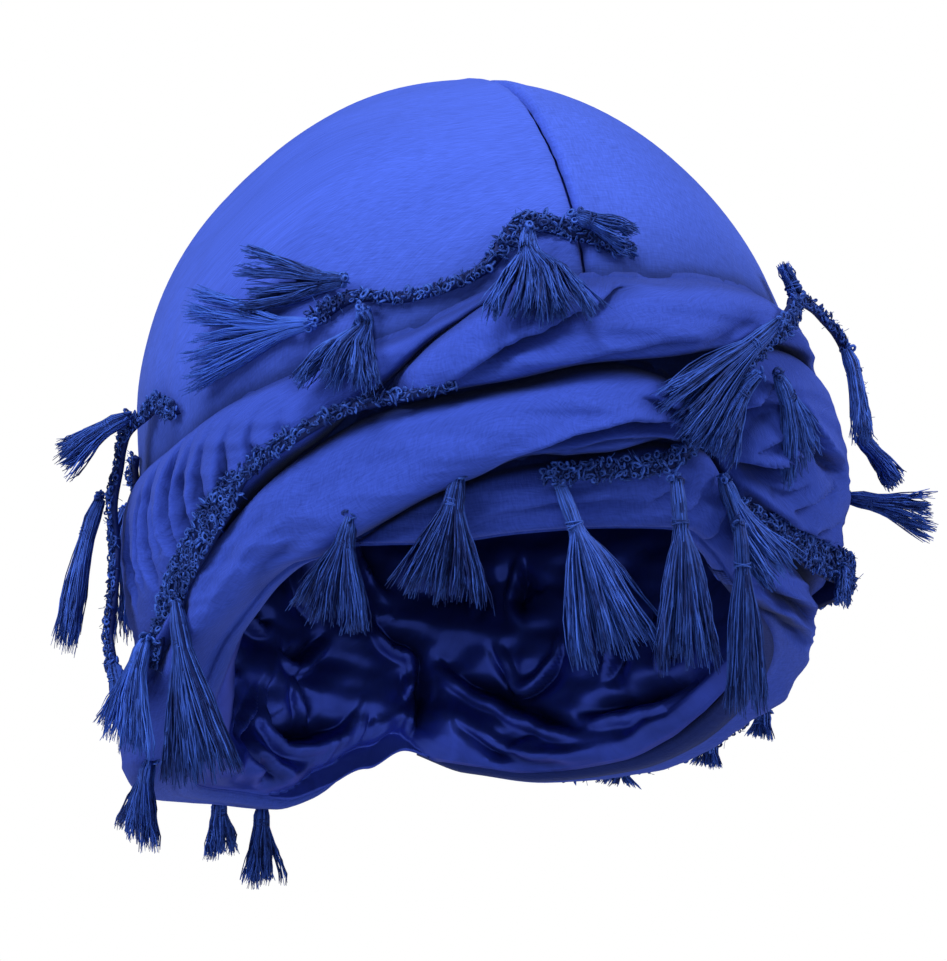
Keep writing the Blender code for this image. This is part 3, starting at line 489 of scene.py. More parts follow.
LOW_FOLDS = [
    fold(6.0, 3.0, 1.1, (33, -19.5), (37.8, -19.4), (44.7, -20.4), (56.2, -21.2), (68, -23)),
    fold(5.4, 2.8, 0.9, (34, -23.4), (39.2, -23.6), (45.9, -25.2), (54.7, -26.4), (66, -29)),
    fold(4.2, 2.8, 0.7, (34, -27.5), (36.7, -29.1), (42.8, -31.8), (51.2, -33.1), (62, -35)),
    fold(4.2, 4.0, 0.5, (64, -24), (84, -30), (100, -34), (118, -36)),
    fold(4.2, 4.0, 0.5, (84, -42), (104, -45), (124, -40), (140, -36)),
    fold(3.6, 4.0, 0.5, (118, -50), (136, -48), (152, -42), (164, -38))]
MIDDLE_LOW_LINE = [row for row in RIM_LINE if row.around < BROW_START] + BROW_LINE


def curve_point(before, start, end, after, t):
    """Place a share t of the way from start to end on a smooth curve through all four."""
    return 0.5 * (2 * start + (end - before) * t
                  + (2 * before - 5 * start + 4 * end - after) * t * t
                  + (3 * start - before - 3 * end + after) * t ** 3)


def eased(knots, steps):
    """Smooth path through a few places, with this many steps between each two."""
    knots = np.asarray(knots, float)
    before = np.vstack([2 * knots[:1] - knots[1:2], knots[:-1]])
    after = np.vstack([knots[1:], 2 * knots[-1:] - knots[-2:-1]])
    path = [curve_point(before[k], knots[k], knots[k + 1], after[k + 1], t)
            for k in range(len(knots) - 1) for t in np.arange(steps) / steps]
    return np.array(path + [knots[-1]])


def beside(path, x, y):
    """How far places lie from a path, more than 0 to its left, the share of the path run
    there, its whole length, and the direction to its left."""
    lengths = lengths_along(path)
    away = np.full(x.shape, 1e9)
    share, left_x, left_y = (0.0 * x for _ in range(3))
    for k in range(len(path) - 1):
        way = path[k + 1] - path[k]
        size = math.hypot(*way)
        t = clipped(((x - path[k, 0]) * way[0] + (y - path[k, 1]) * way[1]) / size ** 2)
        off_x, off_y = x - path[k, 0] - t * way[0], y - path[k, 1] - t * way[1]
        gap = np.hypot(off_x, off_y)
        side = np.where(off_y * way[0] - off_x * way[1] >= 0, 1.0, -1.0)
        near = gap < np.abs(away)
        away = np.where(near, gap * side, away)
        share = np.where(near, (lengths[k] + t * size) / lengths[-1], share)
        left_x = np.where(near, -way[1] / size, left_x)
        left_y = np.where(near, way[0] / size, left_y)
    return away, share, lengths[-1], left_x, left_y


def across_fold(one, away, pockets):
    """Profile of a fold: how far the cloth is pressed in, its painted shade and
    how far it rises beside the fold, each from 0 to 1. A lapped fold ends in a round rim
    over the other side, which slopes up again, and one of little lap is a soft dent. A
    pocket is a round ridge beside a trough, whose painted shade follows how far it is pressed in."""
    if pockets:
        valley = (1.0 - bell(away, RIDGE_WIDTH)) * np.where(away > 0, POCKET_LEFT, 1.0)
        valley = valley * bell(away, POCKET_WIDTH * one.width)
        return valley, valley, bell(away, RIDGE_CREST)
    rounding, crest_at, crest_width = (
        least + more * one.width for least, more in (RIM_ROUND, CREST_AT, CREST_WIDTH))
    # Painted shade along the fold, reaching further on its right side.
    shade = bell(away, np.where(away > 0, SHADE_LEFT, SHADE_RIGHT * one.width))
    crest = bell(away - crest_at, crest_width)
    if one.lap < SOFT_LAP:
        return bell(away, DENT_WIDTH * one.width), DENT_SHADE * shade, crest
    rim = 1.0 - clipped(away / rounding)
    slope = 1.0 - clipped(-away / (SLOPE_WIDTH * one.width))
    valley = np.where(away > 0, 1.0 - np.sqrt(1.0 - rim ** 2), slope ** SLOPE_POWER)
    return valley, shade, crest


def folded(folds, around, height, fade_out=FADE_OUT, pockets=False):
    """How far folds press the cloth in and how far the cloth beside them rises in mm, the
    painted shade in them from 0 to 1, and the shifts around and up that lay the
    cloth over them. Each fold dies away over a share of 1 / fade_out at its far end."""
    x, y = np.broadcast_arrays(around * MM_PER_DEGREE, height + 0.0 * around)
    pressed, lapped, hollow, drawn = (0.0 * x for _ in range(4))
    shift_x, shift_y, draw_x, draw_y = (0.0 * x for _ in range(4))
    for number, one in enumerate(folds):
        path = eased([(a * MM_PER_DEGREE, h) for a, h in one.places], FOLD_STEPS)
        away, share, length, left_x, left_y = beside(path, x, y)
        away = away + WOBBLE * np.sin(share * length * WOBBLE_RATE + number)
        fade = clipped(np.minimum(FADE_IN * share, fade_out * (1 - share)))
        fade = fade * fade * (3.0 - 2.0 * fade)
        fade = fade * (1.0 + UNEVEN_DEPTH * np.sin(share * length * UNEVEN_RATE + 2 * number))
        if one.lap >= SOFT_LAP and not pockets:
            pull = PULL_SHARE * bell(away, PULL_WIDTH) * clipped(PULL_RISE * fade)
            closer = pull > drawn
            draw_x = np.where(closer, -left_x * away * pull, draw_x)
            draw_y = np.where(closer, -left_y * away * pull, draw_y)
            drawn = np.maximum(drawn, pull)
            away = away * (1.0 - pull)
        valley, shade, lap = across_fold(one, away, pockets)
        hollow = np.maximum(hollow, shade * fade * min(one.depth / FULL_SHADE_DEPTH, 1.0))
        pressed = np.maximum(pressed, one.depth * fade * valley)
        lap = lap * one.lap * fade ** LAP_FADE
        stronger = lap > lapped
        lean = POCKET_SHIFT if pockets else LAP_SHIFT
        shift_x = np.where(stronger, -left_x * lap * lean, shift_x)
        shift_y = np.where(stronger, -left_y * lap * lean, shift_y)
        lapped = np.maximum(lapped, lap)
    return pressed, lapped, hollow, shift_x + draw_x, shift_y + draw_y


def turn_of_cloth(turn):
    """One wound roll of the scarf. Its hem holds how far it goes up inside the head
    opening, and its roll is the height of the small waves along it."""
    start, end = turn.sections[0].around, turn.sections[-1].around
    places = [start]
    while places[-1] < end:
        fine = FINE_FROM < places[-1] < FINE_TO
        places.append(places[-1] + (FRONT_STEP if fine else BACK_STEP) / MM_PER_DEGREE)
    around = (start + (np.array(places) - start) * (end - start) / (places[-1] - start))[:, None]
    insets = [column_of(turn.sections, side, around) for side in ("low_inset", "high_inset")]
    low = column_of(turn.low_line, "height", around) + insets[0]
    high = column_of(turn.high_line, "height", around) - insets[1]
    from_end = np.minimum(around - start, end - around) * MM_PER_DEGREE
    rounding = np.sqrt(clipped(from_end / END_ROUNDING))
    rows = max(FEWEST_ROWS, int((high - low).max() * ROWS_PER_MM))
    share = np.linspace(0.0, 1.0, rows)[None, :]
    level = low + (high - low) * (0.5 - 0.5 * np.cos(math.pi * share))
    hump = np.sin(math.pi * share ** ROLL_LEAN) ** ROLL_FULLNESS
    swell = column_of(turn.sections, "proud", around) * rounding * hump
    pressed, lapped, hollow, shift_x, shift_y = folded(turn.folds, around, level, turn.fade_out)
    waves, small, streaks = (
        ripples(around * MM_PER_DEGREE, level, *size, turn.seed + k)
        for k, size in enumerate((LONG_WAVES, SMALL_WAVES, STREAKS)))
    lift = turn.roll * hump * (WAVE_CREST - np.abs(waves) + SMALL_SHARE * small
                               + STREAK_SHARE * (STREAK_CREST - np.abs(streaks)))
    room = clipped(hump * ROOM_RISE) * rounding
    proud = (TURN_GAP + EDGE_THICKNESS * clipped(from_end / EDGE_FADE)
             + np.maximum(swell - pressed, FLATTEST * swell) + lift * rounding
             + LAP_RISE * lapped * room)
    moved = around + shift_x * room / MM_PER_DEGREE
    body = head_point(moved, level + shift_y * room, 0.0) + outward(moved) * proud[..., None]
    body[..., 2] -= SAG * proud

    def strip(height, out):
        """Places at a height round the roll, this far proud."""
        points = head_point(around, height, out)
        points[..., 2] -= SAG * max(out, 0.0)
        return points

    on_crown = turn.high_line is CROWN_LINE
    past_edge = ON_CROWN_TUCK if on_crown else 1.0
    top = [strip(high + past * past_edge, out) for past, out in TUCK]
    if turn.hem:
        inside = column_of(turn.hem, "height", around)
        inside = inside * np.clip(from_end / HEM_FADE, HEM_LEAST, 1.0)
        bottom = [strip(low + inside * up, out) for out, up in HEM_INSIDE]
        bottom += [strip(low + up, out) for out, up in HEM_EDGE]
    else:
        bottom = [strip(low - past, out) for past, out in TUCK[::-1]]
    # Painted shade: along a low edge tucked under a neighbour, along the top edge, at the ends,
    # on the tucks and on a hem turned in inside the opening.
    tucked = clipped((around - turn.tucked_from) / BROW_FADE)
    top_shade = ON_CROWN_SHADE if on_crown else 1.0
    hollow = np.maximum(hollow, tucked * bell(level - low, LOW_SHADE))
    hollow = np.maximum(hollow, top_shade * bell(high - level, HIGH_SHADE))
    hollow = np.maximum(hollow, END_PAINTED_SHADE * bell(from_end, END_SHADE))
    below = np.maximum(TUCKED_SHADE * tucked, turn.inner_shade)
    above = np.full(around.shape, TUCKED_SHADE * top_shade)
    hollow = np.concatenate([below] * len(bottom) + [hollow] + [above] * len(top), 1)
    points = np.concatenate(bottom + [body] + top, 1)
    return cloth_sheet(turn.name + "_cloth", points, hollow, TURN_CLOTH, scarf_cotton)


scarf_cotton = woven_cotton("scarf_cotton", SCARF_BLUE, SCARF_WEAVE)
SHORT_HEM = rows_of(Line, (-180, 3), (180, 3))
MIDDLE_HEM = rows_of(
    Line,
    (-180, 10), (-172, 9.5), (-165, 8), (-157, 5), (-150, 3), (-130, 3), (-90, 3), (180, 3))

TURNS = [
    Turn("upper_turn", UPPER_LINE, CROWN_LINE, UPPER_TURN, UPPER_FOLDS, (0.036, 0.310), 11, 0.55),
    Turn("side_gather", UPPER_LINE, CROWN_LINE, SIDE_GATHER, SIDE_FOLDS, (0.052, 0.240), 21, 0.25,
         fade_out=SLOW_FADE_OUT),
    Turn("middle_turn", MIDDLE_LOW_LINE, UPPER_LINE, MIDDLE_TURN, MIDDLE_FOLDS, (0.064, 0.305),
         31, 0.30, MIDDLE_HEM, tucked_from=BROW_START),
    Turn("front_rim", RIM_LINE, BROW_LINE, FRONT_RIM, FRONT_FOLDS, (0.033, 0.108), 41, 0.5,
         SHORT_HEM, tucked_from=NOWHERE),
    Turn("left_gather", BROW_LINE, UPPER_LINE, LEFT_GATHER, LEFT_FOLDS, (0.064, 0.215), 51, 0.6),
    Turn("low_turn", RIM_LINE, BROW_LINE, LOW_TURN, LOW_FOLDS, (0.054, 0.210), 61, 0.6,
         SHORT_HEM, tucked_from=NOWHERE, inner_shade=0.80),
]
for row in TURNS:
    name, cut, turn = row.name, row.cut, turn_of_cloth(row)
    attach(turn, "root")
    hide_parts(name)

# ---------------------------------------------------------------------------
# Lining: glossy deep blue satin inside the crown, smooth over the top of the head and
# puckered in loose folds at the nape, where it is gathered into the turned-in hem.
LINING_INSET, LINING_CLOTH, LINING_HEM = 3.1, 0.6, 1.0
LINING_RINGS, LINING_SKIRT_RINGS, LOWER_FINER = 14, 84, 0.74
NAPE_STEP, BROW_STEP = 0.60, 8.0                # degrees between columns
LINING_LOOSE, NAPE_FROM, NAPE_RAMP, LOOSE_BELOW = 9.5, 62.0, 34.0, 24.0
LEAST_LOOSE, POCKET_RISE, HEM_ROOM, HEM_RAMP = 0.6, 0.9, 2.0, 4.0
NAPE_WAVE, NAPE_WAVES = 0.7, (46.0, 20.0, 71, 10)       # length, width, seed, waves
NAPE_RIPPLE, NAPE_RIPPLES = 0.35, (19.0, 9.0, 72, 10)
# Painted shade inside the lining: a share over the top of the head, fading out downward to none
# at a height in mm, over a span in mm.
INSIDE_SHADE, SHADE_BELOW, SHADE_RAMP = 0.6, -46.0, 26.0
SATIN_BLUE, SATIN_TONES, SATIN_SPAN = (0.030, 0.058, 0.400), (0.8, 1.2), (0.45, 0.95)
FLOATS, FLOAT_SHARE, SATIN_CLOUD = (4.0, 0.5, 1.0), 0.4, 0.09
# Roughness span of the satin, and the share of its colour left under the deepest painted shade.
SMOOTHEST, ROUGHEST, SATIN_UNDER_PAINTED_SHADE = 0.27, 0.40, 0.04
SATIN_FOLDS = [
    fold(8.5, 3.6, 2.6, (208, -27), (211.2, -32.7), (214.1, -39), (215, -44), (213.9, -49),
         (210, -52), (203.9, -53), (197, -52), (190.3, -50), (186, -46.4), (182.7, -41),
         (180.7, -35)),
    fold(7.5, 2.8, 2.4, (201.5, -28), (202.3, -33), (202.6, -37.6), (201.5, -42),
         (198.3, -46), (194, -50)),
    fold(6.5, 2.8, 2.4, (205.5, -22), (206.6, -28), (204.3, -31.1), (200.5, -31.8),
         (196.5, -29.6), (192.7, -25.7), (189, -20)),
    fold(7.0, 3.2, 2.6, (180, -12), (180, -19), (178, -23), (174.2, -25.6), (170.3, -27.8),
         (169.2, -31.7), (170.9, -36), (174.2, -40.5), (177.4, -45)),
    fold(6.0, 2.6, 1.8, (215.3, -33), (218.3, -41.2), (224.5, -47), (232.6, -53)),
    fold(6.0, 2.6, 1.8, (226.5, -32), (231, -39.6), (233.4, -45.6), (238, -52)),
    fold(5.5, 2.6, 1.8, (232, -55), (225, -58.4), (217, -62), (210, -65)),
    fold(6.0, 2.6, 1.8, (201, -62), (205, -59.3), (211, -56.8), (217, -54.5), (223, -51)),
    fold(3.6, 1.8, 1.2, (166.9, -28), (168.3, -36), (172, -41.7), (176.5, -46.2),
         (182.4, -50.3), (188.5, -54.7), (196, -57.4)),
    fold(4.0, 2.0, 1.2, (165.2, -26), (164.9, -36), (166.5, -41), (167.2, -46), (168.2, -52)),
    fold(7.0, 3.2, 2.6, (134.5, -19), (135.1, -27), (139.4, -33.5), (144.9, -35.8),
         (147.2, -29.3), (151, -20)),
    fold(8.0, 4.0, 2.2, (168, -22), (165.5, -27.4), (159, -35.3), (150.3, -40.6),
         (140, -46.2), (131, -49.5), (121, -50.6)),
    fold(6.0, 2.8, 1.8, (119, -54), (133, -54), (146, -51.5), (156, -45), (163, -37)),
    fold(7.0, 3.4, 2.0, (137, -46.5), (123.2, -46), (109, -44.6), (94, -42), (82, -37)),
    fold(3.5, 2.4, 1.2, (150, -55), (143.4, -52), (135, -50)),
    fold(7.5, 4.4, 2.0, (163, 9), (161, 2.7), (157.9, -4), (154.9, -11.8), (156, -19)),
    fold(7.5, 4.4, 2.0, (143, 1), (145.5, -6), (146.5, -13.5), (143, -20)),
    fold(7.0, 4.4, 2.0, (126, -8), (121, -18), (120, -29), (124, -38)),
    fold(7.0, 4.2, 1.8, (108, -18), (104, -27), (104, -36)),
    fold(7.5, 4.4, 2.0, (196, 4), (199, -5), (197, -14), (190, -19)),
    fold(7.0, 4.0, 1.8, (222, -8), (219, -17), (212, -22), (206, -20)),
    fold(7.0, 4.0, 1.8, (240, -22), (236, -31), (229, -36), (220, -34)),
    fold(6.5, 4.0, 1.8, (252, -28), (249, -38), (243, -46)),
    fold(6.5, 4.2, 1.8, (181, 14), (183, 4), (180, -6), (174, -13)),
    fold(9.0, 4.6, 0.3, (173, -22), (170.5, -32), (170.5, -42), (172, -55)),
    fold(2.6, 2.4, 0.8, (190, -46), (192, -53), (193, -60)),
    fold(2.6, 2.4, 0.8, (182, -40), (183.5, -47), (184.5, -54))]
NAPE_HEM = rows_of(
    Line,
    (160, 1.5), (168, 4), (175, 9), (195, 8), (203, 5), (212, 3), (250, 3))


def glossy_satin():
    """Deep blue satin: smooth floats along the warp with a broad, soft gloss, and painted shade
    darkening it in its folds and deep inside.
    """
    material, tree, shader = new_material("satin")
    place = node_in(tree, "UVMap", uv_map="cloth")
    floats = noise(tree, place, detail=4.0, stretch=FLOATS)
    shade = multiply_add(tree, floats, FLOAT_SHARE, noise(tree, place, scale=SATIN_CLOUD))
    colour = two_tone(tree, shade, SATIN_SPAN, *(toned(SATIN_BLUE, t) for t in SATIN_TONES))
    rough = node_in(tree, "MapRange", {"Value": floats, "To Min": SMOOTHEST,
                                       "To Max": ROUGHEST})
    set_inputs(tree, shader, {
        "Base Color": darken_by_painted_shade(tree, colour, SATIN_UNDER_PAINTED_SHADE),
        "Normal": relief(tree, floats, 0.25, 0.1), "Roughness": rough, "Metallic": 0.6,
        "Specular IOR Level": 0.3, "Specular Tint": (0.22, 0.36, 1.0, 1.0)})
    return material


def satin_lining():
    """The lining as its wearer's side shows it, its outer side against the crown. It is
    loose at the nape, where its folds press back towards the crown."""
    around = np.concatenate([np.arange(-180, -100, NAPE_STEP), np.arange(-100, 100, BROW_STEP),
                             np.arange(100, 180, NAPE_STEP), [180.0]])[::-1, None]
    over_head = dome(around, LINING_RINGS, LINING_INSET)
    rim = column_of(RIM_LINE, "height", around) + LINING_HEM
    down = np.linspace(0.0, 1.0, LINING_SKIRT_RINGS)[None, 1:] ** LOWER_FINER
    level = WIDEST_HEIGHT + (rim - WIDEST_HEIGHT) * down
    back = np.mod(around, 360.0)
    pressed, lapped, hollow, shift_x, shift_y = folded(SATIN_FOLDS, back, level, pockets=True)
    hem = column_of(NAPE_HEM, "height", back)
    loose = (clipped((np.abs(around) - NAPE_FROM) / NAPE_RAMP)
             * clipped((LOOSE_BELOW - level) / LOOSE_BELOW)
             * np.sqrt(clipped((level - rim - hem + HEM_ROOM) / HEM_RAMP)))
    along = back * MM_PER_DEGREE
    slack = (LINING_LOOSE + NAPE_WAVE * ripples(along, level, *NAPE_WAVES)
             + NAPE_RIPPLE * ripples(along, level, *NAPE_RIPPLES))
    lift = loose * (np.maximum(slack - pressed, LEAST_LOOSE) + POCKET_RISE * lapped)
    skirt = head_point(around + shift_x * loose / MM_PER_DEGREE, level + shift_y * loose,
                       -LINING_INSET - np.maximum(lift, 0.0))
    # Painted shade: deeper inside towards the top, and in the pockets of the loose nape.
    inside = INSIDE_SHADE * clipped((level - SHADE_BELOW) / SHADE_RAMP)
    hollow = np.concatenate([np.full(over_head.shape[:2], INSIDE_SHADE),
                             np.maximum(hollow * loose, inside)], 1)
    return cloth_sheet("satin_lining_cloth", np.concatenate([over_head, skirt], 1), hollow,
                       LINING_CLOTH, satin)


satin = glossy_satin()
lining = satin_lining()
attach(lining, "root")
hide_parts("satin_lining")

# ---------------------------------------------------------------------------
# Trim: crocheted edging in dark blue viscose thread, a narrow band covered all over with
# rows of small knots and a fuzz of fibres. It is sewn to the edges of the scarf and lies
# along its turns.
TRIM_STEP, TRIM_REACH, NEAREST_CORNERS, TRIM_STEPS = 6.5, 10.0, 6, 10
KNOT_STEP, KNOT_APART = 1.35, 1.0
KNOT_RING, KNOT_THREAD, KNOT_SEGMENTS, THREAD_SIDES = 0.64, 0.33, 8, 3
KNOT_MISSING, KNOT_STRAY, KNOT_TIP = 0.05, 0.45, 1.5
KNOT_LONG, KNOT_WIDE, KNOT_SIZE = (0.7, 1.7), (0.6, 1.1), (0.6, 1.15)
KNOT_RISE, KNOT_FALL, KNOT_BOUNCE, ROW_SLACK = 1.0, 0.5, (-0.4, 0.6), 0.05
ROW_ENDS, BAND_ENDS, FEWEST_KNOTS = (5.0, 0.55), (4.0, 0.1), 6      # mm of taper, share left
BAND_SIDES, BAND_SHARE, BAND_HALF_THICK, BAND_DOWN = 10, 0.95, 1.05, 0.2
FIBRES_EACH, FIBRE_RADIUS, FIBRE_OUT, FIBRE_BEND = 3, 0.08, 0.45, 0.32
FIBRE_PLACES = np.array([0.0, 0.5, 1.0, 1.5])
ASKEW = np.array([0.37, 0.61, 0.70])            # a direction that no thread runs in
BASE_SHADE = -0.8                               # painted shade on the band or core under the threads
BACK_KNOT_STEP, AT_THE_BACK = 3.2, ("back_trim", "nape_trim")
HALF_TRIM = {                                   # half width of each trim in mm, by around
    "upper_trim": [(-47, 2.2), (-36, 1.5), (-20, 1.4), (-12, 2.4), (9, 2.2)],
    "middle_trim": [(-76, 2.0), (-72, 2.6), (-68, 4.8), (-59, 4.8), (-55, 2.4), (-44, 1.9),
                    (-34, 1.5), (-22, 1.2)],
    "front_trim": [(-9, 2.0), (16, 2.2), (29, 2.6), (41, 3.0)],
    "right_loop_trim": [(44, 2.4), (51, 1.6), (62, 1.3), (72, 2.0)],
    "low_trim": [(27, 2.2), (36, 3.2), (46, 4.8), (86, 4.8)],
    "side_trim": [(-96, 2.4), (-90, 2.0), (-77, 2.4)],
    "back_trim": [(-262, 2.2), (-100, 2.2)],
    "nape_trim": [(90, 2.2), (162, 2.2)],
}
OFF_THE_CLOTH = {"low_trim": (68, 10, 5.0, 0.0),        # around, spread, mm out, mm down
                 "nape_trim": (120, 40, -2.5, 3.5)}
TRIM_SEED = 100
# Dark blue of the thread, and the painted glint its painted highlights run up to.
THREAD_BLUE, TRIM_GLINT = (0.014, 0.036, 0.235), (0.045, 0.120, 0.560)
THREAD_DARK, THREAD_SPAN, PATCHES, PATCH_SHARE = 0.40, (0.85, 2.1), 220.0, 0.5
# Painted highlights in streaks along each strand: their stretch and share, and the scale of the
# plies' bump.
PAINTED_HIGHLIGHT_STREAKS, PAINTED_HIGHLIGHT_SHARE, PLIES = (60.0, 13.0, 1.0), 1.3, 2400.0
TRIMS = {                                       # around, height, and mm proud if it stands off
    "upper_trim": [(-47, 37), (-40, 42.5), (-31, 41.5), (-24.5, 43.5), (-18, 48), (-15, 53),
                   (-10, 60), (-4, 59), (3, 56.5), (9, 53.5)],
    "middle_trim": [(-22, 19), (-30, 17), (-37, 15), (-44, 10.5), (-50, 6), (-55, 1.5),
                    (-59, -5), (-63, -13), (-68, -21), (-73, -30), (-76, -40)],
    "front_trim": [(-9, -1), (-2, 0.5), (6, 1.5), (12, 4), (16, 9), (19, 16), (23, 24),
                   (29, 33), (36, 40), (41, 45)],
    "right_loop_trim": [(44, 45), (50, 49, 8), (58, 46.5, 11), (65, 41.5, 14),
                        (70, 31.5, 16.5), (72, 22, 18)],
    "low_trim": [(27, -4), (34, -8.5), (45, -11.5), (58, -13.5), (72, -15), (86, -17)],
    "side_trim": [(-77, 21), (-84, 25), (-91, 20, 6), (-94, 11, 8), (-95, 2, 10),
                  (-96, -7.5, 10), (-95, -19, 12), (-94, -31, 15), (-92, -39, 15.5)],
    "back_trim": [(-100, 15), (-120, 9), (-145, 4), (-180, 1.5), (-210, 6.5), (-240, 20),
                  (-262, 32)],
    "nape_trim": [(90, -38), (104, -46), (120, -52), (136, -54.5), (150, -53.5), (162, -50)],
}


def corners_of(node):
    """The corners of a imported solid, each once, in mm."""
    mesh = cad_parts[node].data
    places = np.empty(len(mesh.vertices) * 3)
    mesh.vertices.foreach_get("co", places)
    return np.unique(np.round(places.reshape(-1, 3) / MM, 3), axis=0)


def trim_middle(name, rows):
    """Places along the middle of a trim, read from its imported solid, with their around."""
    stations = []
    for k in range(len(rows) - 1):
        knots = rows[max(k - 1, 0)], rows[k], rows[k + 1], rows[min(k + 2, len(rows) - 1)]
        length = np.linalg.norm(head_point(*rows[k + 1]) - head_point(*rows[k]))
        pieces = max(1, round(length / TRIM_STEP))
        stations += [[curve_point(*column, n / pieces) for column in zip(*knots)]
                     for n in range(pieces)]
    stations.append(rows[-1])
    solid = corners_of(name)
    middle = []
    for around, height, proud in stations:
        out = outward(around)
        way = solid - head_point(around, height, max(proud, TRIM_REACH))
        way = way - np.outer(way @ out, out)
        near = np.argsort(np.linalg.norm(way, axis=1))[:NEAREST_CORNERS]
        middle.append(solid[near].mean(0))
    return np.array(middle), np.array([row[0] for row in stations])


def between(at, places, values):
    """Rows of values read off between the places that they belong to."""
    return np.stack([np.interp(at, places, column) for column in values.T], 1)


def ring_of(sides):
    """Angles round a tube with this many sides."""
    return 2 * math.pi * np.arange(sides) / sides


def tube_faces(rings):
    """Walls and end caps of closed tubes, from the numbers of the corners of their rings."""
    here, there = rings[..., :-1, :], rings[..., 1:, :]
    walls = np.stack([here, np.roll(here, -1, -1), np.roll(there, -1, -1), there], -1)
    caps = [rings[..., 0, ::-1], rings[..., -1, :]]
    return [walls.reshape(-1, 4)] + [cap.reshape(-1, rings.shape[-1]) for cap in caps]


def thread_tubes(paths, radii, sides):
    """Places, faces and UVs of closed thin tubes along paths of equal length."""
    threads, count = paths.shape[:2]
    ahead = unit(np.gradient(paths, axis=1))
    side = unit(np.cross(ahead, ASKEW))
    up = np.cross(side, ahead)
    turn = ring_of(sides)
    ring = (side[:, :, None] * np.cos(turn)[None, None, :, None]
            + up[:, :, None] * np.sin(turn)[None, None, :, None])
    places = paths[:, :, None] + ring * radii[:, :, None, None]
    rings = np.arange(threads * count * sides).reshape(threads, count, sides)
    strand = np.broadcast_to(np.arange(threads)[:, None, None], rings.shape)
    share = np.broadcast_to(np.linspace(0, 1, count)[None, :, None], rings.shape)
    return places.reshape(-1, 3), tube_faces(rings), np.stack([strand.ravel(), share.ravel()], 1)


def threads_piece(name, parts, material, seed, painted_light_and_shade=0.0):
    """One joined piece from several lots of tubes or knots, the first of them the base
    beneath the rest. Its UV map gives each strand a tone of its own across, drawn at random
    with the piece's painted light added, painted shade where that is below 0, the base
    painted darkest as shade, and the share of its length along."""
    places, faces, marks, first, strands = [], [], [], 0, 0
    for spots, lots, mark in parts:
        places.append(spots)
        for lot in lots:
            faces += (lot + first).tolist()
        marks.append(mark + np.array([strands, 0.0]))
        first += len(spots)
        strands += int(mark[:, 0].max()) + 1
    mesh = bpy.data.meshes.new(name)
    mesh.from_pydata((np.concatenate(places) * MM).tolist(), [], faces)
    marks = np.concatenate(marks)
    draw = np.random.default_rng(seed).random(strands) + painted_light_and_shade
    # The base is painted dark as shade.
    draw[0] = BASE_SHADE
    marks[:, 0] = draw[marks[:, 0].astype(int)]
    corner = np.empty(len(mesh.loops), int)
    mesh.loops.foreach_get("vertex_index", corner)
    mesh.uv_layers.new(name="strand").data.foreach_set("uv", marks[corner].ravel())
    mesh.shade_smooth()
    mesh.materials.append(material)
    piece = bpy.data.objects.new(name, mesh)
    bpy.context.scene.collection.objects.link(piece)
    return piece


def knot_shape():
    """Places and faces of one small crocheted loop, as a ring of thread in mm."""
    bpy.ops.object.select_all(action="DESELECT")
    bpy.ops.mesh.primitive_torus_add(
        major_segments=KNOT_SEGMENTS, minor_segments=THREAD_SIDES, major_radius=KNOT_RING,
        minor_radius=KNOT_THREAD)
    ring = bpy.context.active_object
    mesh = ring.data
    places = np.array([corner.co[:] for corner in mesh.vertices])
    faces = np.array([face.vertices[:] for face in mesh.polygons])
    bpy.data.objects.remove(ring)
    bpy.data.meshes.remove(mesh)
    return places, faces


KNOT_PLACES, KNOT_FACES = knot_shape()


def knots_at(spots, turns, sizes):
    """Places, faces and UVs of knots at these spots, each turned and sized."""
    places = np.einsum("nij,kj->nki", turns, KNOT_PLACES) * sizes[:, None, None] + spots[:, None]
    number, count = np.arange(len(spots)), len(KNOT_PLACES)
    faces = KNOT_FACES[None] + (number * count)[:, None, None]
    mark = np.stack([np.repeat(number, count), np.tile(np.linspace(0, 1, count), len(spots))], 1)
    return places.reshape(-1, 3), [faces.reshape(-1, 4)], mark


def thread_with_painted_highlights(name, blue, glint):
    """Viscose thread: each strand its own tone, with painted highlights in soft streaks along it
    that run up to a painted glint colour.
    """
    material, tree, shader = new_material(name)
    place = node_in(tree, "UVMap", uv_map="strand")
    strand = node_in(tree, "SeparateXYZ", {0: place})
    spot = node_in(tree, "TexCoord", output="Object")
    patchy = multiply_add(tree, noise(tree, spot, scale=PATCHES), PATCH_SHARE, strand)
    # Painted highlights in streaks along each strand.
    shade = multiply_add(tree, noise(tree, place, stretch=PAINTED_HIGHLIGHT_STREAKS), PAINTED_HIGHLIGHT_SHARE, patchy)
    plies = noise(tree, spot, scale=PLIES, detail=1.0)
    set_inputs(tree, shader, {
        "Base Color": two_tone(tree, shade, THREAD_SPAN, toned(blue, THREAD_DARK), glint),
        "Normal": relief(tree, plies, 0.4, 0.1), "Roughness": 0.58, "Metallic": 0.25,
        "Specular IOR Level": 0.12})
    return material


trim_thread = thread_with_painted_highlights("trim_thread", THREAD_BLUE, TRIM_GLINT)


def band_under(path, wide, out, half):
    """The flat band under the knots of a trim, painted dark as the shade beneath them."""
    count, turn = len(path), ring_of(BAND_SIDES)
    across = np.cos(turn)[None, :, None] * half[:, None, None] * BAND_SHARE
    thick = np.sin(turn)[None, :, None] * BAND_HALF_THICK - BAND_DOWN
    band = path[:, None] + wide[:, None] * across + out[:, None] * thick
    rings = np.arange(count * BAND_SIDES).reshape(count, BAND_SIDES)
    share = np.repeat(np.linspace(0, 1, count), BAND_SIDES)
    return band.reshape(-1, 3), tube_faces(rings), np.stack([0.0 * share, share], 1)


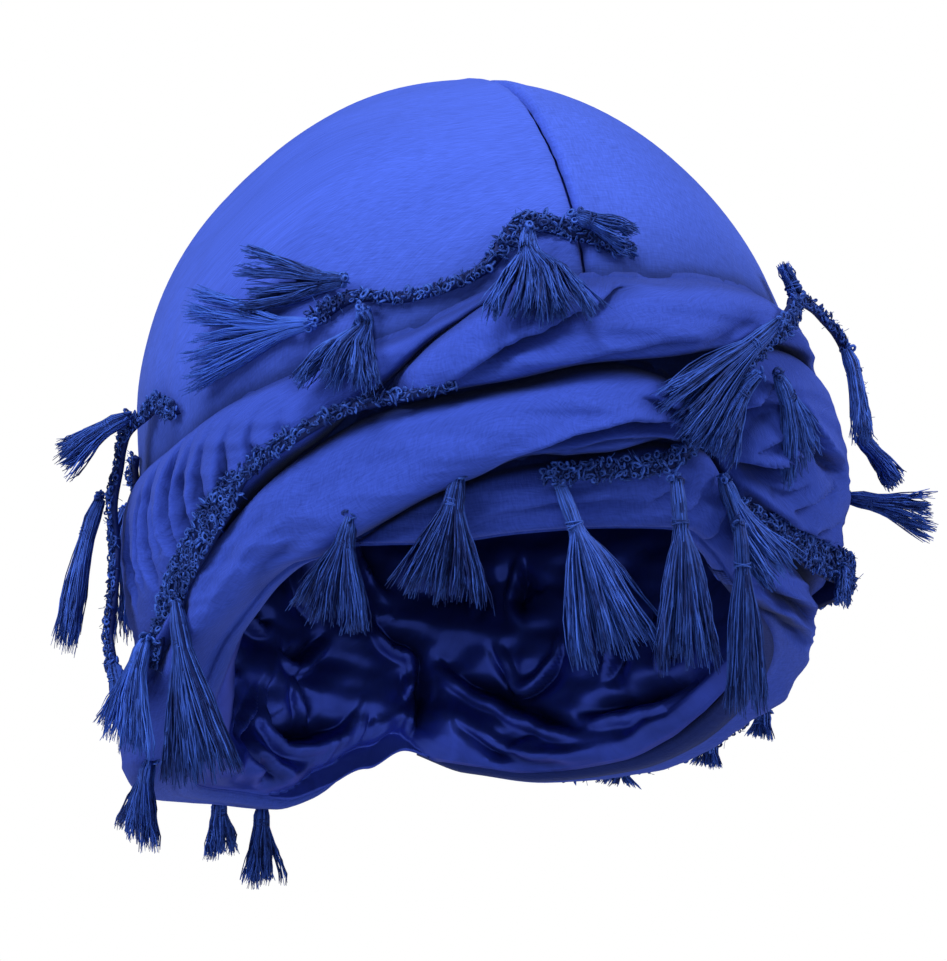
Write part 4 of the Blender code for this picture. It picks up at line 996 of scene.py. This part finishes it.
def crocheted_trim(name, rows, seed):
    """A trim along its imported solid: a band, rows of knots over it and loose fibres."""
    draw = np.random.default_rng(seed)
    stations, places_round = trim_middle(name, rows)
    path = eased(stations, TRIM_STEPS)
    turn = eased(places_round[:, None], TRIM_STEPS)[:, 0]
    lengths = lengths_along(path)
    step = BACK_KNOT_STEP if name in AT_THE_BACK else KNOT_STEP
    count = max(FEWEST_KNOTS, int(lengths[-1] / step))
    even = np.linspace(0, lengths[-1], count)
    path, turn = between(even, lengths, path), np.interp(even, lengths, turn)
    ahead = unit(np.gradient(path, axis=0))
    wide = unit(np.cross(ahead, outward(turn)))
    out = np.cross(wide, ahead)
    if name in OFF_THE_CLOTH:
        place, spread, away, down = OFF_THE_CLOTH[name]
        loose = bell(turn - place, spread)[:, None]
        path = path + loose * (out * away - np.array([0.0, 0.0, down]))
    from_end = np.minimum(even, lengths[-1] - even)
    taper, narrow = (clipped(from_end / reach + least) for reach, least in (ROW_ENDS, BAND_ENDS))
    half = np.interp(turn, *zip(*HALF_TRIM[name]))
    parts = [band_under(path, wide, out, half * narrow)]
    spots, turns, sizes = [], [], []
    rows_out = int(half.max() / KNOT_APART)
    for row in range(-rows_out, rows_out + 1):
        shift = row * KNOT_APART
        for k in range(count):
            if abs(shift) > half[k] + ROW_SLACK or draw.random() < KNOT_MISSING:
                continue
            at = min(k + 0.5 * (row % 2), count - 1.0)
            low = int(at)
            high = min(low + 1, count - 1)
            spot = path[low] + (path[high] - path[low]) * (at - low)
            side = (shift + draw.uniform(-KNOT_STRAY, KNOT_STRAY)) * taper[low]
            rise = KNOT_RISE - KNOT_FALL * (shift / half[k]) ** 2 + draw.uniform(*KNOT_BOUNCE)
            spots.append(spot + wide[low] * side + out[low] * rise)
            spin, tip = draw.uniform(0, math.pi), draw.uniform(-KNOT_TIP, KNOT_TIP)
            base = np.stack([ahead[low], wide[low], out[low]], 1)
            about = np.array([[math.cos(spin), -math.sin(spin), 0],
                              [math.sin(spin), math.cos(spin), 0], [0, 0, 1]])
            lean = np.array([[1, 0, 0], [0, math.cos(tip), -math.sin(tip)],
                             [0, math.sin(tip), math.cos(tip)]])
            drawn_out = np.diag([draw.uniform(*KNOT_LONG), draw.uniform(*KNOT_WIDE), 1.0])
            turns.append(base @ about @ lean @ drawn_out)
            sizes.append(draw.uniform(*KNOT_SIZE))
    spots = np.array(spots)
    parts.append(knots_at(spots, np.array(turns), np.array(sizes)))
    fuzz = spots[draw.integers(0, len(spots), FIBRES_EACH * count)]
    lean = draw.normal(0, 1, (len(fuzz), 2, 3))
    grow = FIBRE_PLACES[None, :, None]
    fibres = (fuzz[:, None] + lean[:, :1] * grow * FIBRE_OUT
              + lean[:, 1:] * (grow ** 2) * FIBRE_BEND)
    parts.append(thread_tubes(fibres, np.full(fibres.shape[:2], FIBRE_RADIUS), THREAD_SIDES))
    return threads_piece(name + "_crochet", parts, trim_thread, seed)


for k, (name, rows) in enumerate(TRIMS.items()):
    trim = crocheted_trim(name, [(*row, 0)[:3] for row in rows], TRIM_SEED + k)
    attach(trim, "root")
    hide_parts(name)

# ---------------------------------------------------------------------------
# Tassels: bundles of thin twisted viscose threads, looped through the edge of the trim,
# bound at the neck with a few turns of thread, and cut off a little unevenly. They fan
# out in locks and lie on the cloth or hang free.
Tassel = namedtuple("Tassel", "around height proud tip_around tip_height tip_proud width")
TASSELS = rows_of(
    Tassel,
    (-45, 36, 0, -69, 37, 0, 20), (-40, 46, 0, -57, 48.5, 0, 13), (-37, 39, 0, -38, 20, 0, 15),
    (-10.5, 57, 0, -10, 34.5, 0, 27), (-2, 61, 0, 8, 57, 0, 7), (30, 38, 0, 10, 13, 0, 15),
    (25, 25, 0, 18, 6, 0, 9), (52, 53, 6, 51, 60, 6, 5), (31, 26, 0, 40, 7, 0, 14),
    (62, 38, 15, 62, 16, 19, 9), (72, 18, 18, 72, 7, 28, 10), (70, 5, 17, 68, 0, 38, 9),
    (60, -17, 20, 60, -26, 22, 6), (22, 1, 0, 32, -20, 16, 12), (-6.5, -5, 10, 3, -42, 14, 23),
    (11, -1, 10, 14, -42, 14, 17), (24, -9, 12, 28, -51, 15, 15),
    (-21.5, -1, 12, -25, -28, 12, 18), (-37, -10, 14, -42, -33, 11, 18),
    (-75, -34, 16, -80, -57, 21, 17), (-68, -26, 15, -66, -66, 15, 17),
    (-93, -62, 9, -95, -80, 14, 19), (-146, -66, 5, -148, -80, 9, 12),
    (-157, -67, 5, -158, -87, 10, 11), (-88, 23, 10, -92, 13, 25, 11),
    (-96, 4, 14, -98, -31, 26, 14), (-90, -38, 16, -89, -50, 16, 7),
    (98, -44, 12, 99, -56, 12, 10), (112, -50, 10, 113, -62, 10, 10),
    (130, -55, 10, 131, -65, 10, 10), (-118, 6, 0, -120, -26, 0, 15),
    (-150, 0, 0, -152, -34, 0, 15), (178, -2, 0, 178, -36, 0, 15), (146, 5, 0, 144, -29, 0, 15),
    (114, 21, 0, 112, -12, 0, 15))
TASSEL_SEED = 199
TASSEL_RINGS, RING_POINTS = (0.0, 0.1, 0.24, 0.56, 1.0), 8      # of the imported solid
THREADS_LEAST, THREADS_PER_MM, SPARSE_PER_MM, SPARSE_FROM = 60, 15.5, 4.0, 28
THREAD_STEPS, THREAD_RADIUS, THREAD_UNEVEN, THREAD_ENDS = 8, 0.18, (0.8, 1.2), (0.5, 0.45)
LENGTHS, CUT_SHORT, SHORT_LENGTHS = (0.93, 1.05), 0.28, (0.5, 0.92)    # shares of its length
LOCK_WIDTH, LOCK_GATHER, LOCK_POWER, FEWEST_LOCKS = 2.4, 0.22, 0.7, 4
LOCK_UNEVEN, LOCK_RATE, PAST_TIP = 0.04, 9.0, 4
OUT_OF_STEP = 3                                 # how unlike each other the swings start
INNERMOST, WANDER, FREE_FROM, INSIDE_WIDTH, INSIDE_DEPTH = 0.2, 1.15, 0.2, 0.97, 0.95
SWING, FINE_SWING, LOCK_SWING = (0.80, 5.0), (0.34, 15.0), (0.9, 4.5)   # mm, radians down it
SWAY, FINE_SWAY, LOCK_SWAY = (0.60, 6.0), (0.30, 18.0), 0.5
CORE_SIDES, CORE_SHARE, CORE_SLIM = 12, 0.62, (1.0, 1.0, 1.0, 0.7, 0.3)
CORE_RINGS = len(CORE_SLIM)
NECK_AT, NECK_TURNS, NECK_STEPS, NECK_THREAD, NECK_HALF = 0.24, 3.5, 36, 0.2, 0.8
NECK_ROOM, NECK_SIDES, CLIMB_UNEVEN, CLIMB_RATE = 0.1, 4, 0.35, 1.3
HEAD_KNOTS, HEAD_SPREAD, HEAD_REACH, HEAD_SIZES = 10, 0.8, 1.2, (0.8, 1.3)
LONG_NECKS = {15: 0.42, 16: 0.38, 17: 0.32}     # tassels whose strands hang close together
LONG_NECK_FROM, NECK_CLOSE, NECK_LEAN, NECK_FULLNESS, SPLAY_POWER = 0.08, 0.5, 1.5, 0.8, 0.8
SPLAY = {                                       # how much wider these spread at the tip
    1: 1.25, 2: 1.25, 3: 1.4, 6: 1.1, 7: 1.05, 9: 1.5, 10: 2.0, 11: 1.7, 12: 1.6, 13: 3.0,
    14: 1.2, 18: 1.15, 19: 1.15, 20: 1.6, 21: 1.6, 22: 2.6, 25: 1.3, 26: 1.7, 27: 1.6,
    28: 2.0, 29: 2.3, 30: 2.3}
SHORT = {28: 0.6, 29: 0.6, 30: 0.6}             # length of these, as a share
DENSER = {20: 1.35, 21: 1.4}                    # more threads in these
PAINTED_LIGHT_AND_SHADE = {                                    # painted light added to the tone of these, painted shade where below 0
    1: 0.75, 16: -0.25, 17: -0.2, 18: -0.35, 19: -0.2, 20: 0.3, 21: -0.2}
# The painted glint of the tassels' painted highlights.
TASSEL_GLINT = (0.050, 0.135, 0.640)

tassel_thread = thread_with_painted_highlights("tassel_thread", THREAD_BLUE, TASSEL_GLINT)


def tassel_bones(name, row):
    """Down a tassel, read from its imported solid: the middle of each ring, the directions
    of its width and its thickness, and half its width and half its thickness."""
    solid = corners_of(name)
    down = unit(head_point(row.tip_around, row.tip_height, row.tip_proud)
                - head_point(row.around, row.height, row.proud))
    rings = solid[np.argsort(solid @ down)].reshape(len(TASSEL_RINGS), RING_POINTS, 3)
    middles = rings.mean(1)
    local = rings - middles[:, None]
    wide = np.linalg.svd(local[-1])[2][0]
    ahead = unit(np.gradient(middles, axis=0))
    across = unit(wide - ahead * (ahead @ wide)[:, None])
    deep = np.cross(across, ahead)
    halves = [np.abs(np.einsum("kni,ki->kn", local, way)).max(1) for way in (across, deep)]
    return middles, across, deep, *halves


def tassel_of_threads(name, number, row):
    """All the threads of one tassel and the turns that bind its neck."""
    seed = TASSEL_SEED + number
    draw = np.random.default_rng(seed)
    middles, *bones = tassel_bones(name, row)
    per_mm = SPARSE_PER_MM if number >= SPARSE_FROM else THREADS_PER_MM
    count = int((THREADS_LEAST + per_mm * row.width) * DENSER.get(number, 1.0))
    share = np.linspace(0, 1, THREAD_STEPS)
    spine = between(share, TASSEL_RINGS, middles)
    across, deep = (between(share, TASSEL_RINGS, way) for way in bones[:2])
    half_wide, half_deep = (np.interp(share, TASSEL_RINGS, half) for half in bones[2:])
    if number in LONG_NECKS:
        down = clipped((share - LONG_NECK_FROM) / (LONG_NECKS[number] - LONG_NECK_FROM))
        close = 1.0 - NECK_CLOSE * np.sin(math.pi * down ** NECK_LEAN) ** NECK_FULLNESS
        half_wide, half_deep = half_wide * close, half_deep * (0.5 + 0.5 * close)
    half_wide = half_wide * (1.0 + (SPLAY.get(number, 1.0) - 1.0) * share ** SPLAY_POWER)

    # Where each thread lies across the tassel, and the lock that draws it aside.
    angle = draw.uniform(0, 2 * math.pi, count)
    reach = np.sqrt(draw.uniform(INNERMOST, 1.0, count))
    a, b = reach * np.cos(angle), reach * np.sin(angle)
    locks = max(FEWEST_LOCKS, int(row.width / LOCK_WIDTH))
    which = np.round((a + 1) / 2 * locks)
    lock, which = which / locks * 2 - 1, which.astype(int)
    gather = LOCK_GATHER * share[None, :] ** LOCK_POWER
    a_down = a[:, None] * (1 - gather) + lock[:, None] * gather
    b_lock = draw.uniform(-0.5, 0.5, locks + 2)[which]
    b_down = b[:, None] * (1 - 0.5 * gather) + b_lock[:, None] * gather

    # How long each is, and how it swings from side to side and in and out.
    long = draw.uniform(*LENGTHS, count) + LOCK_UNEVEN * np.sin(lock * LOCK_RATE + seed)
    long = long * SHORT.get(number, 1.0)
    cut = draw.random(count) < CUT_SHORT
    long = np.where(cut, long * draw.uniform(*SHORT_LENGTHS, count), long)
    grown = share[None, :] * long[:, None]
    wander = draw.normal(0, 1, (count, 4)) * WANDER
    curls = draw.normal(0, 1, (locks + 2, 4))[which]
    first, second = wander[:, :1] * OUT_OF_STEP, wander[:, 2:3] * OUT_OF_STEP
    curl = curls[:, :1] * OUT_OF_STEP
    swing = (SWING[0] * np.sin(grown * SWING[1] + first) * wander[:, 1:2]
             + FINE_SWING[0] * np.sin(grown * FINE_SWING[1] + second)
             + LOCK_SWING[0] * (np.sin(grown * LOCK_SWING[1] + curl) - np.sin(curl)))
    sway = (SWAY[0] * np.cos(grown * SWAY[1] + second) * wander[:, 3:4]
            + FINE_SWAY[0] * np.sin(grown * FINE_SWAY[1] + first)
            + LOCK_SWAY * curls[:, 2:3] * grown)
    free = clipped(grown - FREE_FROM)
    at = clipped(grown) * (THREAD_STEPS - 1)
    low = np.minimum(at.astype(int), THREAD_STEPS - 2)
    part = (at - low)[..., None]

    def down_to(values):
        """Values down the tassel, read off where each step of each thread lies."""
        return values[low] * (1 - part) + values[low + 1] * part

    past = np.maximum(grown - 1.0, 0.0)[..., None]
    centre = down_to(spine) + past * (spine[-1] - spine[-3]) * PAST_TIP
    w, d = (down_to(half[:, None])[..., 0] for half in (half_wide, half_deep))
    paths = (centre + down_to(across) * (a_down * w * INSIDE_WIDTH + swing * free)[..., None]
             + down_to(deep) * (b_down * d * INSIDE_DEPTH + sway * free)[..., None])
    radii = THREAD_RADIUS * draw.uniform(*THREAD_UNEVEN, count)[:, None] * np.ones(THREAD_STEPS)
    radii[:, [0, -1]] *= THREAD_ENDS

    # The solid core beneath the threads, down to where they part, painted dark as the shade
    # beneath them.
    top, turn = slice(CORE_RINGS), ring_of(CORE_SIDES)
    ring = (across[top, None] * (half_wide[top, None] * np.cos(turn))[..., None]
            + deep[top, None] * (half_deep[top, None] * np.sin(turn))[..., None])
    slim = np.array(CORE_SLIM) * CORE_SHARE
    core = spine[top, None] + ring * slim[:, None, None] * SHORT.get(number, 1.0)
    rings = np.arange(CORE_RINGS * CORE_SIDES).reshape(CORE_RINGS, CORE_SIDES)
    faces = tube_faces(rings)
    if np.linalg.det(np.stack([across[0], deep[0], spine[1] - spine[0]])) < 0:
        faces = [lot[:, ::-1] for lot in faces]
    marks = np.stack([0.0 * rings, np.broadcast_to(share[top, None], rings.shape)], 2)
    parts = [(core.reshape(-1, 3), faces, marks.reshape(-1, 2)),
             thread_tubes(paths, radii, THREAD_SIDES)]

    # The turns round the neck, and the knot that holds the head to the trim.
    bound = TASSEL_RINGS.index(NECK_AT)
    side, depth, w, d = (bone[bound] for bone in bones)
    ahead = unit(np.gradient(middles, axis=0))[bound]
    turn = np.linspace(0, 2 * math.pi * NECK_TURNS, NECK_STEPS)
    climb = (np.linspace(-NECK_HALF, NECK_HALF, NECK_STEPS)
             + CLIMB_UNEVEN * np.sin(turn * CLIMB_RATE + seed))
    wrap = (middles[bound] + side * (np.cos(turn) * (w + NECK_ROOM))[:, None]
            + depth * (np.sin(turn) * (d + NECK_ROOM))[:, None] + ahead * climb[:, None])
    parts.append(thread_tubes(wrap[None], np.full((1, NECK_STEPS), NECK_THREAD), NECK_SIDES))
    stray = draw.normal(0, HEAD_SPREAD, (HEAD_KNOTS, 3))
    spots = middles[0] + np.clip(stray, -HEAD_REACH, HEAD_REACH)
    turns = np.array([np.linalg.qr(draw.normal(0, 1, (3, 3)))[0] for _ in range(HEAD_KNOTS)])
    turns *= np.sign(np.linalg.det(turns))[:, None, None]
    parts.append(knots_at(spots, turns, draw.uniform(*HEAD_SIZES, HEAD_KNOTS)))
    return threads_piece(name + "_threads", parts, tassel_thread, seed, PAINTED_LIGHT_AND_SHADE.get(number, 0.0))


for number, row in enumerate(TASSELS, 1):
    name = f"tassel_{number:02d}"
    tassel = tassel_of_threads(name, number, row)
    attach(tassel, "root")
    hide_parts(name)

# ---------------------------------------------------------------------------
# Studio: a plain pale floor well below the wrap, a white surround with a weak light of
# its own, and five soft round lamps: a key from the upper left in front, one from each
# side, one from above and a weak one low in front.
FLOOR_DROP, FLOOR_SIZE, FLOOR_GREY = 0.25, 6.0, (0.62, 0.62, 0.63, 1.0)
BACKDROP_WHITE, AMBIENT_WHITE, AMBIENT_POWER = (1.0, 1.0, 1.0, 1.0), (0.95, 0.97, 1.0, 1.0), 0.03
LAMPS = {                                       # place, size and power
    "key": ((-0.45, -0.75, 1.15), 0.6, 16.0), "left": ((-1.25, -0.50, 0.55), 0.7, 13.0),
    "right": ((1.15, -0.55, 0.70), 0.7, 13.0), "top": ((0.05, 0.10, 1.45), 0.7, 5.0),
    "front": ((-0.30, -1.35, -0.05), 0.4, 1.3)}
PHOTO_HEIGHT, LENS_PIXELS, CAMERA_AWAY = 961, 4600.0, 1.15
CAMERA_AZIMUTH, CAMERA_ELEVATION = math.radians(-18.0), math.radians(-7.0)
CAMERA_TARGET = Vector((0.0030, 0.0001, 0.0105))

bpy.ops.object.select_all(action="DESELECT")
bpy.ops.mesh.primitive_plane_add(size=FLOOR_SIZE, location=(0, 0, 0))
floor = bpy.context.active_object
floor.name = "studio_floor"
for corner in floor.data.vertices:
    corner.co.z = -FLOOR_DROP
floor_paint, tree, shader = new_material("studio_floor")
set_inputs(tree, shader, {"Base Color": FLOOR_GREY, "Roughness": 0.9})
below = node_in(tree, "NewGeometry", output="Backfacing")
one_sided = node_in(tree, "MixShader", {0: below, 1: shader.outputs[0],
                                        2: node_in(tree, "BsdfTransparent")})
tree.links.new(one_sided, tree.nodes["Material Output"].inputs["Surface"])
floor.data.materials.append(floor_paint)

world = bpy.data.worlds.new("studio")
bpy.context.scene.world = world
world.use_nodes = True
tree = world.node_tree
backdrop = tree.nodes["Background"]
backdrop.inputs["Color"].default_value = BACKDROP_WHITE
ambient = node_in(tree, "Background", {"Color": AMBIENT_WHITE, "Strength": AMBIENT_POWER})
seen = node_in(tree, "LightPath", output="Is Camera Ray")
surround = node_in(tree, "MixShader", {0: seen, 1: ambient, 2: backdrop.outputs[0]})
tree.links.new(surround, tree.nodes["World Output"].inputs["Surface"])

for name, (place, size, power) in LAMPS.items():
    lamp = bpy.data.lights.new(name, "AREA")
    lamp.shape, lamp.size, lamp.energy = "DISK", size, power
    holder = bpy.data.objects.new(name, lamp)
    holder.location = place
    holder.rotation_euler = (-Vector(place)).to_track_quat("-Z", "Y").to_euler()
    bpy.context.scene.collection.objects.link(holder)

back = Vector((math.sin(CAMERA_AZIMUTH) * math.cos(CAMERA_ELEVATION),
               -math.cos(CAMERA_AZIMUTH) * math.cos(CAMERA_ELEVATION),
               math.sin(CAMERA_ELEVATION)))
lens = bpy.data.cameras.new("camera")
lens.sensor_fit, lens.sensor_height = "VERTICAL", 36.0
lens.lens = LENS_PIXELS * lens.sensor_height / PHOTO_HEIGHT
lens.clip_start, lens.clip_end = 0.05, 20.0
camera = bpy.data.objects.new("camera", lens)
camera.location = CAMERA_TARGET + back * CAMERA_AWAY
camera.rotation_euler = (-back).to_track_quat("-Z", "Y").to_euler()
bpy.context.scene.collection.objects.link(camera)
bpy.context.scene.camera = camera
bpy.context.scene.view_settings.view_transform = "Standard"
